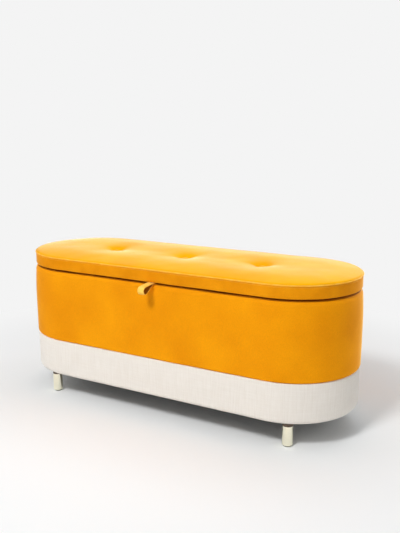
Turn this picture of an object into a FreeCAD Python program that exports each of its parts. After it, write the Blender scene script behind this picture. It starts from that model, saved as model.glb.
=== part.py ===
import FreeCAD, Part
import math
import os
import Sketcher

# Bench ottoman with storage: a stadium-shaped upholstered box on four turned legs,
# closed by a padded lid that hinges at the back and is steadied by two sliding stays.
# Millimetres. X runs along the bench, the front faces -Y, Z is up. The origin is on the
# floor, at the middle of the box's plan.

Vector = FreeCAD.Vector
UP = Vector(0, 0, 1)
doc = FreeCAD.newDocument("ottoman")

# Driving dimensions: name, value, what it is.
SIZES = [
    ("length", 1100, "box, end to end"),
    ("depth", 400, "box, front to back; each end is a half round of this width"),
    ("leg_height", 74, "floor to the underside of the base"),
    ("plinth_height", 117, "lower band of linen"),
    ("box_height", 225, "velvet part of the box, up to the rim"),
    ("lid_gap", 4, "between the rim and the underside of the lid"),
    ("lid_edge", 42, "lid's underside to the line of its crest"),
    ("crown", 4, "rise of the seat from its crest to its middle"),
    ("cloth", 2, "velvet or linen with its fleece backing"),
    ("foam", 8, "padding on the velvet part of the wall"),
    ("skin", 3, "bent hardboard round the frame"),
    ("stud_depth", 20, "room for a batten, measured through the wall"),
    ("stud_play", 1, "batten's inner face short of that room"),
    ("stud_width", 30, "batten, measured along the wall"),
    ("lining", 2, "lining cloth on card"),
    ("plinth_inset", 2, "linen face behind the velvet face"),
    ("lid_inset", 4, "lid's side behind the box's side"),
    ("base_thick", 18, "plywood base"),
    ("ring_thick", 18, "plywood ring under the rim"),
    ("board_thick", 15, "plywood board of the lid"),
    ("base_round", 7, "eased lower edge of the base"),
    ("plinth_round", 14, "lower edge of the linen"),
    ("plinth_seam_round", 3, "linen rolling into the seam"),
    ("box_seam_round", 5, "velvet rolling into the seam"),
    ("shoulder_round", 14, "outer edge of the rim"),
    ("mouth_round", 6, "inner edge of the rim"),
    ("rim_drop", 32, "velvet turned down inside the rim"),
    ("under_wrap", 54, "linen turned under the base"),
    ("dust_cloth", 1, "cloth that closes the underside"),
    ("skin_gap", 4, "top of the hardboard below the rim's cloth"),
    ("lid_wrap", 32, "velvet turned under the lid"),
    ("band_round", 3, "lower edge of the lid's side"),
    ("band_height", 35, "lid's underside to the piping"),
    ("piping_radius", 2, "piping in the seam of the lid"),
    ("edge_round", 2.8, "crest of the lid's cover"),
    ("tuft_spacing", 260, "from one button to the next"),
    ("tuft_depth", 12, "button's seat below the crown"),
    ("tuft_reach", 68, "radius of the hollow round a button"),
    ("button_radius", 12, "covered button"),
    ("button_height", 6, "covered button"),
    ("button_side", 2, "upright edge of a covered button"),
    ("button_fall", 1, "drop of a button from its middle to its brow"),
    ("button_brow", 0.6, "where the brow lies, as a share of the button's radius"),
    ("tie_radius", 1.5, "twine that holds a button down"),
    ("tie_play", 0.5, "hole round the twine"),
    ("washer_radius", 10, "washer that the twine is knotted on"),
    ("washer_thick", 3, "the same washer, let into the board"),
    ("tab_width", 21, "pull tab"),
    ("tab_thick", 1.7, "one ply of the pull tab"),
    ("tab_reach", 48.5, "pull tab's nose in front of the box"),
    ("tab_drop", 15, "middle of the nose below the lid's underside"),
    ("tab_nose", 11.5, "outer radius of the nose"),
    ("tab_root", 1, "where the plies part, behind the box's face"),
    ("tab_crotch", 1, "the loop's opening starts this far in front of that"),
    ("leg_inset", 38, "leg's middle in from the outline"),
    ("leg_angle", 69, "degrees round the end, from the long axis"),
    ("leg_radius", 15, "turned leg"),
    ("collar", 15, "bare wood above the ferrule"),
    ("ferrule_wall", 1, "brass cup on the leg"),
    ("glide_thick", 3, "plastic glide under the ferrule"),
    ("glide_inset", 3, "glide's edge inside the ferrule's"),
    ("glide_ease", 1, "bevel round the glide's foot"),
    ("bolt_radius", 4, "hanger bolt of a leg"),
    ("bolt_in_leg", 30, "bolt's depth in the leg"),
    ("nut_radius", 5, "barrel of a tee nut"),
    ("nut_flange_radius", 10, "flange of a tee nut"),
    ("nut_flange", 1.5, "flange of a tee nut"),
    ("nut_length", 14, "tee nut over all"),
    ("bumper_radius", 8, "felt bumper on the rim"),
    ("bumper_play", 0.3, "bumper to the closed lid"),
    ("bumper_angle", 35, "degrees round the end, from the long axis"),
    ("knuckle_radius", 4, "hinge knuckle"),
    ("hinge_pin_radius", 2, "hinge pin"),
    ("hinge_play", 0.05, "lid's knuckle round the pin"),
    ("hinge_length", 60, "one hinge, along the lid"),
    ("hinge_spacing", 240, "from one hinge to the next"),
    ("leaf_thick", 1.5, "hinge leaf"),
    ("leaf_reach", 32, "hinge axis to the front edge of a leaf"),
    ("leaf_clear", 4.5, "leaf's notch in front of the other knuckle's axis"),
    ("knuckle_gap", 0.3, "between knuckles"),
    ("screw_radius", 1.75, "shank of a wood screw"),
    ("screw_head", 3.2, "head of a wood screw"),
    ("screw_length", 15, "wood screw"),
    ("screw_tip", 2, "point of a wood screw"),
    ("screw_spacing", 20, "screws of one hinge leaf"),
    ("screw_line", 25, "hinge axis to its line of screws"),
    ("strut_arm", 210, "hinge axis to either pivot of a stay"),
    ("strut_low_angle", 72, "degrees, lower pivot below the rim"),
    ("strut_high_angle", 3.5, "degrees, upper pivot below the rim"),
    ("strut_inset", 30, "stay's plane in from the end of the straight side"),
    ("tube_radius", 8, "tube of a stay"),
    ("tube_wall", 1.5, "tube of a stay"),
    ("tube_start", 15, "lower pivot to the tube"),
    ("tube_mouth", 26.4, "upper pivot to the tube's mouth when closed"),
    ("tube_floor", 2, "closed end of the tube"),
    ("piston_rest", 2.4, "piston above the tube's floor when closed"),
    ("gland_lip", 3, "gland standing out of the tube"),
    ("gland_depth", 8, "gland inside the tube"),
    ("rod_radius", 4, "rod of a stay"),
    ("rod_play", 0.05, "gland round the rod, piston in the tube"),
    ("rod_start", 14, "upper pivot to the rod's end in the eye"),
    ("piston_length", 9, "piston on the rod"),
    ("eye_radius", 8, "eye of a stay"),
    ("eye_thick", 8, "eye, along the pivot"),
    ("eye_shank", 3.5, "radius of the eye's shank"),
    ("pivot_radius", 4, "stud that the eye turns on"),
    ("pivot_play", 0.05, "eye round its stud"),
    ("pivot_head", 1.5, "head that keeps the eye on"),
    ("pivot_head_lip", 1.5, "head's edge outside the stud"),
    ("tongue_thick", 3, "bracket's tongue"),
    ("pivot_side_play", 0.3, "eye to the tongue, and to the stud's head"),
    ("plate_thick", 2, "bracket's plate"),
    ("plate_length", 46, "bracket's plate"),
    ("plate_width", 24, "bracket's plate"),
    ("plate_screws", 32, "between a plate's two screws"),
]

# Places worked out from them, each by the name that the pieces use.
WORKED = [
    ("end_radius", "sizes.depth / 2"),
    ("span", "sizes.length / 2 - end_radius"),
    ("underside", "sizes.leg_height"),
    ("base_bottom", "underside + sizes.cloth"),
    ("base_top", "base_bottom + sizes.base_thick"),
    ("seam_up", "underside + sizes.plinth_height"),
    ("rim_top", "seam_up + sizes.box_height"),
    ("ring_top", "rim_top - sizes.cloth"),
    ("ring_bottom", "ring_top - sizes.ring_thick"),
    ("drop_bottom", "rim_top - sizes.rim_drop"),
    ("floor_top", "base_top + sizes.lining"),
    ("box_out", "end_radius"),
    ("foam_out", "box_out - sizes.cloth"),
    ("skin_out", "foam_out - sizes.foam"),
    ("frame_out", "skin_out - sizes.skin"),
    ("frame_in", "frame_out - sizes.stud_depth"),
    ("lining_in", "frame_in - sizes.lining"),
    ("plinth_out", "box_out - sizes.plinth_inset"),
    ("wadding_out", "plinth_out - sizes.cloth"),
    ("wrap_in", "plinth_out - sizes.under_wrap"),
    ("skin_top", "ring_top - sizes.skin_gap"),
    ("skin_bottom", "underside + sizes.plinth_round"),
    ("lid_under", "rim_top + sizes.lid_gap"),
    ("lid_out", "end_radius - sizes.lid_inset"),
    ("lid_fill_out", "lid_out - sizes.cloth"),
    ("lid_wrap_in", "lid_out - sizes.lid_wrap"),
    ("board_bottom", "lid_under + sizes.cloth"),
    ("board_top", "board_bottom + sizes.board_thick"),
    ("band_top", "lid_under + sizes.band_height"),
    ("piping_up", "band_top + sizes.piping_radius"),
    ("cover_bottom", "piping_up + sizes.piping_radius"),
    ("crest_up", "lid_under + sizes.lid_edge"),
    ("seat_top", "crest_up + sizes.crown"),
    ("tuft_radius", "(sizes.tuft_reach ^ 2 + sizes.tuft_depth ^ 2) / (2 * sizes.tuft_depth)"),
    ("tuft_center", "seat_top - sizes.tuft_depth + tuft_radius"),
    ("button_seat", "tuft_center - sqrt(tuft_radius ^ 2 - sizes.button_radius ^ 2)"),
    ("leg_circle", "end_radius - sizes.leg_inset"),
    ("leg_x", "span + leg_circle * cos(sizes.leg_angle)"),
    ("leg_y", "leg_circle * sin(sizes.leg_angle)"),
    ("ferrule_top", "underside - sizes.collar"),
    ("ferrule_floor", "sizes.glide_thick + sizes.ferrule_wall"),
    ("leg_core", "sizes.leg_radius - sizes.ferrule_wall"),
    ("nut_bottom", "base_top - sizes.nut_length"),
    ("nut_seat", "base_top - sizes.nut_flange"),
    ("bumper_circle", "frame_out - sizes.stud_depth / 2"),
    ("bumper_x", "span + bumper_circle * cos(sizes.bumper_angle)"),
    ("bumper_y", "bumper_circle * sin(sizes.bumper_angle)"),
    ("hinge_out", "end_radius + sizes.knuckle_radius"),
    ("hinge_up", "rim_top + sizes.lid_gap / 2"),
    ("knuckle_end", "sizes.hinge_length / 3 / 2"),
    ("screw_out", "hinge_out - sizes.screw_line"),
    ("strut_x", "span - sizes.strut_inset"),
    ("low_y", "hinge_out - sizes.strut_arm * cos(sizes.strut_low_angle)"),
    ("low_z", "hinge_up - sizes.strut_arm * sin(sizes.strut_low_angle)"),
    ("high_y", "hinge_out - sizes.strut_arm * cos(sizes.strut_high_angle)"),
    ("high_z", "hinge_up - sizes.strut_arm * sin(sizes.strut_high_angle)"),
    ("stay_lean", "(sizes.strut_low_angle + sizes.strut_high_angle) / 2"),
    ("stay_length", "2 * sizes.strut_arm * sin((sizes.strut_low_angle - sizes.strut_high_angle) / 2)"),
    ("tube_end", "stay_length - sizes.tube_mouth"),
    ("tube_bore", "sizes.tube_radius - sizes.tube_wall"),
    ("piston_radius", "tube_bore - sizes.rod_play"),
    ("gland_bore", "sizes.rod_radius + sizes.rod_play"),
    ("eye_bore", "sizes.pivot_radius + sizes.pivot_play"),
    ("rod_end", "stay_length - sizes.tube_start - sizes.tube_floor - sizes.piston_rest"),
    ("eye_side", "sizes.eye_thick / 2 + sizes.pivot_side_play"),
    ("tongue_x", "strut_x + eye_side"),
    ("plate_x", "tongue_x + sizes.tongue_thick / 2"),
    ("screw_bite", "sizes.screw_length - sizes.leaf_thick - sizes.cloth"),
    ("plate_bite", "sizes.screw_length - sizes.plate_thick - sizes.lining"),
]


def fill_sheet(name, rows):
    """One sheet of named cells, in the order given."""
    sheet = doc.addObject("Spreadsheet::Sheet", name)
    for row, (alias, content, note) in enumerate(rows, start=1):
        sheet.set(f"A{row}", alias)
        sheet.set(f"B{row}", content)
        sheet.set(f"C{row}", note)
        sheet.setAlias(f"B{row}", alias)
    doc.recompute()
    return sheet


sizes = fill_sheet("sizes", [(alias, str(number), note) for alias, number, note in SIZES])
worked = fill_sheet("worked", [(alias, "=" + formula, "") for alias, formula in WORKED])
pieces = {}


def value(text):
    """What an expression on the two sheets comes to."""
    return float(worked.evalExpression(text))


def keep(name, piece):
    """A finished sub-part, under the name of its file."""
    piece.Label = name
    pieces[name] = piece
    return piece


# ---- Sketches ----------------------------------------------------------------------------


def new_body(name, separate=False):
    """An empty body; a separate one may hold several solids, all of one kind."""
    body = doc.addObject("PartDesign::Body", name + "_body")
    body.AllowCompound = separate
    return body


def origin_feature(body, role):
    return next(part for part in body.Origin.OriginFeatures if part.Role == role)


def new_sketch(body, plane, along="0", up="0", out="0"):
    """A sketch on one of the body's own planes, its origin moved within and off that plane."""
    sketch = body.newObject("Sketcher::SketchObject", body.Name + "_sketch")
    sketch.AttachmentSupport = [(origin_feature(body, plane), "")]
    sketch.MapMode = "FlatFace"
    for axis, shift in zip("xyz", (along, up, out)):
        if shift != "0":
            sketch.setExpression(f"AttachmentOffset.Base.{axis}", shift)
    return sketch


def pin_point(sketch, shape, end, across, up):
    """Ties one point of a shape to its place, given by two expressions."""
    for kind, text, axis in (("DistanceX", across, -2), ("DistanceY", up, -1)):
        if text == "0":
            sketch.addConstraint(Sketcher.Constraint("PointOnObject", shape, end, axis))
            continue
        rule = Sketcher.Constraint(kind, -1, 1, shape, end, value(text))
        sketch.setExpression(f"Constraints[{sketch.addConstraint(rule)}]", text)


def fix_radius(sketch, shape, text):
    rule = Sketcher.Constraint("Radius", shape, value(text))
    sketch.setExpression(f"Constraints[{sketch.addConstraint(rule)}]", text)


def draw_corners(sketch, corners):
    """A closed outline of straight lines through the given corners."""
    places = [Vector(value(across), value(up), 0) for across, up in corners]
    first = sketch.GeometryCount
    count = len(corners)
    for number, place in enumerate(places):
        sketch.addGeometry(Part.LineSegment(place, places[(number + 1) % count]), False)
    for number, (across, up) in enumerate(corners):
        after = first + (number + 1) % count
        sketch.addConstraint(Sketcher.Constraint("Coincident", first + number, 2, after, 1))
        pin_point(sketch, first + number, 1, across, up)


def draw_circle(sketch, across, up, radius):
    place = Vector(value(across), value(up), 0)
    circle = sketch.addGeometry(Part.Circle(place, UP, value(radius)), False)
    pin_point(sketch, circle, 3, across, up)
    fix_radius(sketch, circle, radius)


def draw_stadium(sketch, radius):
    """Two straights and two half rounds about the box's two end centres."""
    span, reach = value("worked.span"), value(radius)
    back = sketch.addGeometry(Part.LineSegment(Vector(span, reach), Vector(-span, reach)), False)
    quarter = math.pi / 2
    left_round = Part.Circle(Vector(-span, 0), UP, reach)
    left = sketch.addGeometry(Part.ArcOfCircle(left_round, quarter, 3 * quarter), False)
    front = sketch.addGeometry(Part.LineSegment(Vector(-span, -reach), Vector(span, -reach)), False)
    right_round = Part.Circle(Vector(span, 0), UP, reach)
    right = sketch.addGeometry(Part.ArcOfCircle(right_round, -quarter, quarter), False)
    for one, other in ((back, left), (left, front), (front, right), (right, back)):
        sketch.addConstraint(Sketcher.Constraint("Tangent", one, 2, other, 1))
    sketch.addConstraint(Sketcher.Constraint("Horizontal", back))
    sketch.addConstraint(Sketcher.Constraint("Symmetric", left, 3, right, 3, -1, 1))
    pin_point(sketch, right, 3, "worked.span", "0")
    fix_radius(sketch, right, radius)


def draw_box(sketch, low_x, low_y, high_x, high_y):
    draw_corners(sketch, [(low_x, low_y), (high_x, low_y), (high_x, high_y), (low_x, high_y)])


# ---- Features ----------------------------------------------------------------------------


def add_feature(body, kind, **settings):
    """A feature of a body with its settings; a text setting is an expression."""
    feature = body.newObject("PartDesign::" + kind, f"{body.Name}_{kind}")
    for name, setting in settings.items():
        if isinstance(setting, str) and name not in ("SideType", "TransformMode"):
            feature.setExpression(name, setting)
        else:
            setattr(feature, name, setting)
    return feature


def cut_feature(body, kind, **settings):
    """A feature that takes material away, made certain of by the body's volume."""
    doc.recompute()
    before = body.Shape.Volume
    feature = add_feature(body, kind, **settings)
    doc.recompute()
    if not body.Shape.Volume < before:
        raise ValueError(f"{feature.Name} cuts nothing")
    return feature


def turn(body, sketch, kind="Revolution", **settings):
    """A full turn of a sketch about its own upright axis."""
    adds = add_feature if kind == "Revolution" else cut_feature
    return adds(body, kind, Profile=sketch, ReferenceAxis=(sketch, ["V_Axis"]), Angle=360, **settings)


def repeat(body, length, count, feature=None):
    """Copies along X, evenly in a row that is `length` long, of one feature or of the whole body."""
    chosen = {"Originals": [feature]} if feature else {"TransformMode": "Whole shape"}
    row = add_feature(body, "LinearPattern", Direction=(origin_feature(body, "X_Axis"), [""]),
                      Length=length, Occurrences=count, **chosen)
    body.Tip = row
    doc.recompute()


def mirror(body, *planes):
    """The body's whole shape and its mirror image in each plane in turn."""
    for plane in planes:
        image = add_feature(body, "Mirrored", TransformMode="Whole shape",
                            MirrorPlane=(origin_feature(body, plane), [""]))
        body.Tip = image
        doc.recompute()


def from_middle(place):
    """How far a point lies from the box's middle line, seen from above."""
    return math.hypot(max(abs(place.x) - value("worked.span"), 0), place.y)


def level_edges(shape, out, up):
    """The names of the edges that run round the box at one distance and one height."""
    names = []
    for number, edge in enumerate(shape.Edges, start=1):
        if edge.Degenerated:
            continue
        start, stop = edge.ParameterRange
        places = [edge.valueAt(mark) for mark in (start, (start + stop) / 2, stop)]
        if all(abs(place.z - value(up)) < 1e-4 for place in places):
            if all(abs(from_middle(place) - value(out)) < 1e-4 for place in places):
                names.append(f"Edge{number}")
    if not names:
        raise ValueError(f"no edge at {out}, {up}")
    return names


def round_edge(body, out, up, radius):
    """A fillet on the edges that run round the box at one distance and one height."""
    doc.recompute()
    names = level_edges(body.Tip.Shape, out, up)
    fillet = add_feature(body, "Fillet", Base=(body.Tip, names), Radius=radius)
    doc.recompute()
    return fillet


def swept_body(name, corners):
    """A strip of one section, taken all round the box: corners are (distance out, height)."""
    body = new_body(name)
    path = new_sketch(body, "XY_Plane")
    draw_stadium(path, "worked.end_radius")
    section = new_sketch(body, "YZ_Plane")
    draw_corners(section, corners)
    add_feature(body, "AdditivePipe", Profile=section, Spine=(path, []))
    return body


def sweep_round(name, corners):
    """The same strip as a piece of its own."""
    return keep(name, swept_body(name, corners))


def plate(name, radius, bottom, thick):
    """A flat piece with the box's own plan."""
    body = new_body(name)
    sketch = new_sketch(body, "XY_Plane", out=bottom)
    draw_stadium(sketch, radius)
    add_feature(body, "Pad", Profile=sketch, Length=thick)
    return keep(name, body)


def drill(body, bottom, depth, holes):
    """Round holes, upwards from `bottom`: each is (x, y, radius)."""
    sketch = new_sketch(body, "XY_Plane", out=bottom)
    for across, along, radius in holes:
        draw_circle(sketch, across, along, radius)
    cut_feature(body, "Pocket", Profile=sketch, Length=depth, Reversed=True)


def hinge_screw_holes():
    """A hole for each screw of the three hinges."""
    return [(f"{hinge} * sizes.hinge_spacing + {screw} * sizes.screw_spacing", "worked.screw_out",
             "sizes.screw_radius") for hinge in (-1, 0, 1) for screw in (-1, 0, 1)]


def plate_screw_holes():
    """A hole for each screw that holds a stay's bracket to the lid."""
    return [(f"{side}worked.plate_x", f"worked.high_y + {end} * sizes.plate_screws / 2",
             "sizes.screw_radius") for side in ("", "-") for end in (-1, 1)]


def four_corners(across, along, radius):
    """The same hole at the four places that mirror each other."""
    return [(sign_x + across, sign_y + along, radius) for sign_x in ("", "-") for sign_y in ("", "-")]


# ---- Box: frame --------------------------------------------------------------------------


def make_base():
    body = plate("base_panel", "worked.frame_out", "worked.base_bottom", "sizes.base_thick")
    round_edge(body, "worked.frame_out", "worked.base_bottom", "sizes.base_round")
    drill(body, "worked.base_bottom", "sizes.base_thick",
          four_corners("worked.leg_x", "worked.leg_y", "sizes.nut_radius"))
    drill(body, "worked.nut_seat", "sizes.nut_flange",
          four_corners("worked.leg_x", "worked.leg_y", "sizes.nut_flange_radius"))


def make_top_ring():
    body = sweep_round("top_ring", [
        ("worked.frame_in", "worked.ring_bottom"), ("worked.frame_out", "worked.ring_bottom"),
        ("worked.frame_out", "worked.ring_top"), ("worked.frame_in", "worked.ring_top")])
    for out in ("worked.frame_out", "worked.frame_in"):
        round_edge(body, out, "worked.ring_top", "sizes.mouth_round - sizes.cloth")
    drill(body, "worked.ring_top - worked.screw_bite", "worked.screw_bite", hinge_screw_holes())


def stud(name, across, along, angle):
    """One batten, its outer corners against the hardboard."""
    batten = doc.addObject("Part::Box", name)
    batten.setExpression("Length", "sizes.stud_depth - sizes.stud_play")
    batten.setExpression("Width", "sizes.stud_width")
    batten.setExpression("Height", "worked.ring_bottom - worked.base_top")
    reach = math.sqrt(value("worked.frame_out") ** 2 - (value("sizes.stud_width") / 2) ** 2)
    heading = Vector(math.cos(angle), math.sin(angle), 0)
    side = Vector(-heading.y, heading.x, 0)
    corner = Vector(across, along, value("worked.base_top"))
    corner += heading * (reach - value("sizes.stud_depth - sizes.stud_play"))
    corner -= side * value("sizes.stud_width") / 2
    batten.Placement = FreeCAD.Placement(corner, FreeCAD.Rotation(UP, math.degrees(angle)))
    return batten


def make_studs():
    """Battens between base and ring: along both sides, behind the stays, and round the ends."""
    span, strut_x = value("worked.span"), value("worked.strut_x")
    battens = []
    for side in (-1, 1):
        for share in (-1, -0.5, 0, 0.5, 1):
            battens.append(stud("side_stud", share * strut_x, 0, side * math.pi / 2))
        for angle in (-60, -20, 20, 60):
            turned = math.radians(angle if side > 0 else 180 - angle)
            battens.append(stud("end_stud", side * span, 0, turned))
    group = doc.addObject("Part::Compound", "studs")
    group.Links = battens
    holes = doc.addObject("Part::Compound", "stud_holes")
    holes.Links = [stud_hole(side * value("worked.plate_x"), end)
                   for side in (-1, 1) for end in (-1, 1)]
    drilled = doc.addObject("Part::Cut", "drilled_studs")
    drilled.Base = group
    drilled.Tool = holes
    keep("wall_studs", drilled)


def stud_hole(across, end):
    """The hole that one screw of a stay's lower bracket bites in."""
    hole = doc.addObject("Part::Cylinder", "stud_hole")
    hole.setExpression("Radius", "sizes.screw_radius")
    hole.setExpression("Height", "worked.plate_bite")
    up = value("worked.low_z") + end * value("sizes.plate_screws") / 2
    hole.Placement = FreeCAD.Placement(
        Vector(across, value("worked.frame_in"), up), FreeCAD.Rotation(Vector(1, 0, 0), -90))
    return hole


def make_wall_layers():
    sweep_round("wall_skin", [
        ("worked.frame_out", "worked.skin_bottom"), ("worked.skin_out", "worked.skin_bottom"),
        ("worked.skin_out", "worked.skin_top"), ("worked.frame_out", "worked.skin_top")])
    foam = sweep_round("wall_foam", [
        ("worked.frame_in", "worked.seam_up + sizes.cloth"),
        ("worked.foam_out", "worked.seam_up + sizes.cloth"),
        ("worked.foam_out", "worked.ring_top"), ("worked.frame_in", "worked.ring_top")])
    round_edge(foam, "worked.foam_out", "worked.ring_top", "sizes.shoulder_round - sizes.cloth")
    round_edge(foam, "worked.foam_out", "worked.seam_up + sizes.cloth",
               "sizes.box_seam_round - sizes.cloth")
    core = new_sketch(foam, "XY_Plane")
    draw_stadium(core, "worked.skin_out")
    cut_feature(foam, "Pocket", Profile=core, Length="worked.rim_top", Reversed=True)
    sweep_round("plinth_wadding", [
        ("worked.skin_out", "worked.skin_bottom"), ("worked.wadding_out", "worked.skin_bottom"),
        ("worked.wadding_out", "worked.seam_up - sizes.cloth"),
        ("worked.skin_out", "worked.seam_up - sizes.cloth")])


# ---- Box: covers and linings -------------------------------------------------------------


def make_box_cover():
    """Velvet: turned in at the seam below, over the rim, and down inside the mouth."""
    body = sweep_round("box_cover", [
        ("worked.skin_out", "worked.seam_up"), ("worked.box_out", "worked.seam_up"),
        ("worked.box_out", "worked.rim_top"), ("worked.lining_in", "worked.rim_top"),
        ("worked.lining_in", "worked.drop_bottom"), ("worked.frame_in", "worked.drop_bottom"),
        ("worked.frame_in", "worked.ring_top"), ("worked.foam_out", "worked.ring_top"),
        ("worked.foam_out", "worked.seam_up + sizes.cloth"),
        ("worked.skin_out", "worked.seam_up + sizes.cloth")])
    round_edge(body, "worked.box_out", "worked.rim_top", "sizes.shoulder_round")
    round_edge(body, "worked.foam_out", "worked.ring_top", "sizes.shoulder_round - sizes.cloth")
    round_edge(body, "worked.lining_in", "worked.rim_top", "sizes.mouth_round")
    round_edge(body, "worked.frame_in", "worked.ring_top", "sizes.mouth_round - sizes.cloth")
    round_edge(body, "worked.box_out", "worked.seam_up", "sizes.box_seam_round")
    round_edge(body, "worked.foam_out", "worked.seam_up + sizes.cloth",
               "sizes.box_seam_round - sizes.cloth")
    drill(body, "worked.ring_top", "sizes.cloth", hinge_screw_holes())


def make_plinth_cover():
    """Linen: turned in at the seam above, and under the base below."""
    body = sweep_round("plinth_cover", [
        ("worked.wrap_in", "worked.underside"), ("worked.plinth_out", "worked.underside"),
        ("worked.plinth_out", "worked.seam_up"), ("worked.skin_out", "worked.seam_up"),
        ("worked.skin_out", "worked.seam_up - sizes.cloth"),
        ("worked.wadding_out", "worked.seam_up - sizes.cloth"),
        ("worked.wadding_out", "worked.base_bottom"), ("worked.wrap_in", "worked.base_bottom")])
    round_edge(body, "worked.plinth_out", "worked.underside", "sizes.plinth_round")
    round_edge(body, "worked.wadding_out", "worked.base_bottom", "sizes.plinth_round - sizes.cloth")
    round_edge(body, "worked.plinth_out", "worked.seam_up", "sizes.plinth_seam_round")
    drill(body, "worked.underside", "sizes.cloth",
          four_corners("worked.leg_x", "worked.leg_y", "sizes.nut_radius"))


def make_linings():
    wall = sweep_round("wall_lining", [
        ("worked.lining_in", "worked.floor_top"), ("worked.frame_in", "worked.floor_top"),
        ("worked.frame_in", "worked.drop_bottom"), ("worked.lining_in", "worked.drop_bottom")])
    holes = new_sketch(wall, "XZ_Plane", out="-worked.lining_in")
    for side in ("", "-"):
        for end in (-1, 1):
            draw_circle(holes, f"{side}worked.plate_x",
                        f"worked.low_z + {end} * sizes.plate_screws / 2", "sizes.screw_radius")
    cut_feature(wall, "Pocket", Profile=holes, Length="sizes.lining")
    plate("floor_lining", "worked.frame_in", "worked.base_top", "sizes.lining")
    plate("dust_cover", "worked.wrap_in", "worked.base_bottom - sizes.dust_cloth",
          "sizes.dust_cloth")


# ---- Legs --------------------------------------------------------------------------------


def turned_piece(name, across, along, corners):
    """A piece turned about an upright axis at (across, along): corners are (radius, height)."""
    body = new_body(name)
    sketch = new_sketch(body, "XZ_Plane", along=across, out=f"-({along})")
    draw_corners(sketch, corners)
    turn(body, sketch)
    return body


def make_leg(end, across, along):
    """A turned leg that stands in a brass cup, its collar left bare."""
    keep("leg_" + end, turned_piece("leg_" + end, across, along, [
        ("0", "worked.ferrule_floor"), ("worked.leg_core", "worked.ferrule_floor"),
        ("worked.leg_core", "worked.ferrule_top"), ("sizes.leg_radius", "worked.ferrule_top"),
        ("sizes.leg_radius", "worked.underside"), ("sizes.bolt_radius", "worked.underside"),
        ("sizes.bolt_radius", "worked.underside - sizes.bolt_in_leg"),
        ("0", "worked.underside - sizes.bolt_in_leg")]))
    keep("ferrule_" + end, turned_piece("ferrule_" + end, across, along, [
        ("0", "sizes.glide_thick"), ("sizes.leg_radius - sizes.ferrule_wall", "sizes.glide_thick"),
        ("sizes.leg_radius", "worked.ferrule_floor"), ("sizes.leg_radius", "worked.ferrule_top"),
        ("worked.leg_core", "worked.ferrule_top"), ("worked.leg_core", "worked.ferrule_floor"),
        ("0", "worked.ferrule_floor")]))


def four_turned(name, across, along, corners):
    """Four of one turned piece, at the places that mirror each other."""
    body = turned_piece(name, across, along, corners)
    body.AllowCompound = True
    mirror(body, "YZ_Plane", "XZ_Plane")
    return keep(name, body)


def make_legs():
    for end, across, along in (
            ("front_left", "-worked.leg_x", "-worked.leg_y"),
            ("front_right", "worked.leg_x", "-worked.leg_y"),
            ("back_left", "-worked.leg_x", "worked.leg_y"),
            ("back_right", "worked.leg_x", "worked.leg_y")):
        make_leg(end, across, along)
    glide_out = "sizes.leg_radius - sizes.glide_inset"
    four_turned("glides", "worked.leg_x", "worked.leg_y", [
        ("0", "0"), (glide_out + " - sizes.glide_ease", "0"), (glide_out, "sizes.glide_ease"),
        (glide_out, "sizes.glide_thick"), ("0", "sizes.glide_thick")])
    four_turned("leg_bolts", "worked.leg_x", "worked.leg_y", [
        ("0", "worked.underside - sizes.bolt_in_leg"),
        ("sizes.bolt_radius", "worked.underside - sizes.bolt_in_leg"),
        ("sizes.bolt_radius", "worked.nut_seat"), ("0", "worked.nut_seat")])
    four_turned("tee_nuts", "worked.leg_x", "worked.leg_y", [
        ("sizes.bolt_radius", "worked.nut_bottom"), ("sizes.nut_radius", "worked.nut_bottom"),
        ("sizes.nut_radius", "worked.nut_seat"), ("sizes.nut_flange_radius", "worked.nut_seat"),
        ("sizes.nut_flange_radius", "worked.base_top"), ("sizes.bolt_radius", "worked.base_top")])


def make_bumpers():
    four_turned("bumpers", "worked.bumper_x", "worked.bumper_y", [
        ("0", "worked.rim_top"), ("sizes.bumper_radius", "worked.rim_top"),
        ("sizes.bumper_radius", "worked.lid_under - sizes.bumper_play"),
        ("0", "worked.lid_under - sizes.bumper_play")])


# ---- Lid ---------------------------------------------------------------------------------


def draw_crowned(sketch, out, bottom, crest, top, whole):
    """A flat-bottomed section with a crowned top: all of it, or the half right of the axis."""
    rise = value(top) - value(crest)
    radius = (value(out) ** 2 + rise ** 2) / (2 * rise)
    center = Vector(0, value(top) - radius, 0)
    lean = math.asin(value(out) / radius)
    quarter = math.pi / 2
    arc_end = quarter + lean if whole else quarter
    arc = sketch.addGeometry(
        Part.ArcOfCircle(Part.Circle(center, UP, radius), quarter - lean, arc_end), False)
    inner = "-(" + out + ")" if whole else "0"
    low_right = Vector(value(out), value(bottom), 0)
    high_right = Vector(value(out), value(crest), 0)
    low_left = Vector(value(inner), value(bottom), 0)
    high_left = Vector(value(inner), value(crest if whole else top), 0)
    left = sketch.addGeometry(Part.LineSegment(high_left, low_left), False)
    floor = sketch.addGeometry(Part.LineSegment(low_left, low_right), False)
    right = sketch.addGeometry(Part.LineSegment(low_right, high_right), False)
    for one, other in ((arc, left), (left, floor), (floor, right), (right, arc)):
        sketch.addConstraint(Sketcher.Constraint("Coincident", one, 2, other, 1))
    pin_point(sketch, left, 1, inner, crest if whole else top)
    pin_point(sketch, floor, 1, inner, bottom)
    pin_point(sketch, right, 1, out, bottom)
    pin_point(sketch, right, 2, out, crest)
    if whole:
        rise_text = f"(({top}) - ({crest}))"
        fix_radius(sketch, arc, f"(({out}) ^ 2 + {rise_text} ^ 2) / (2 * {rise_text})")
    else:
        sketch.addConstraint(Sketcher.Constraint("PointOnObject", arc, 3, -2))


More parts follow.
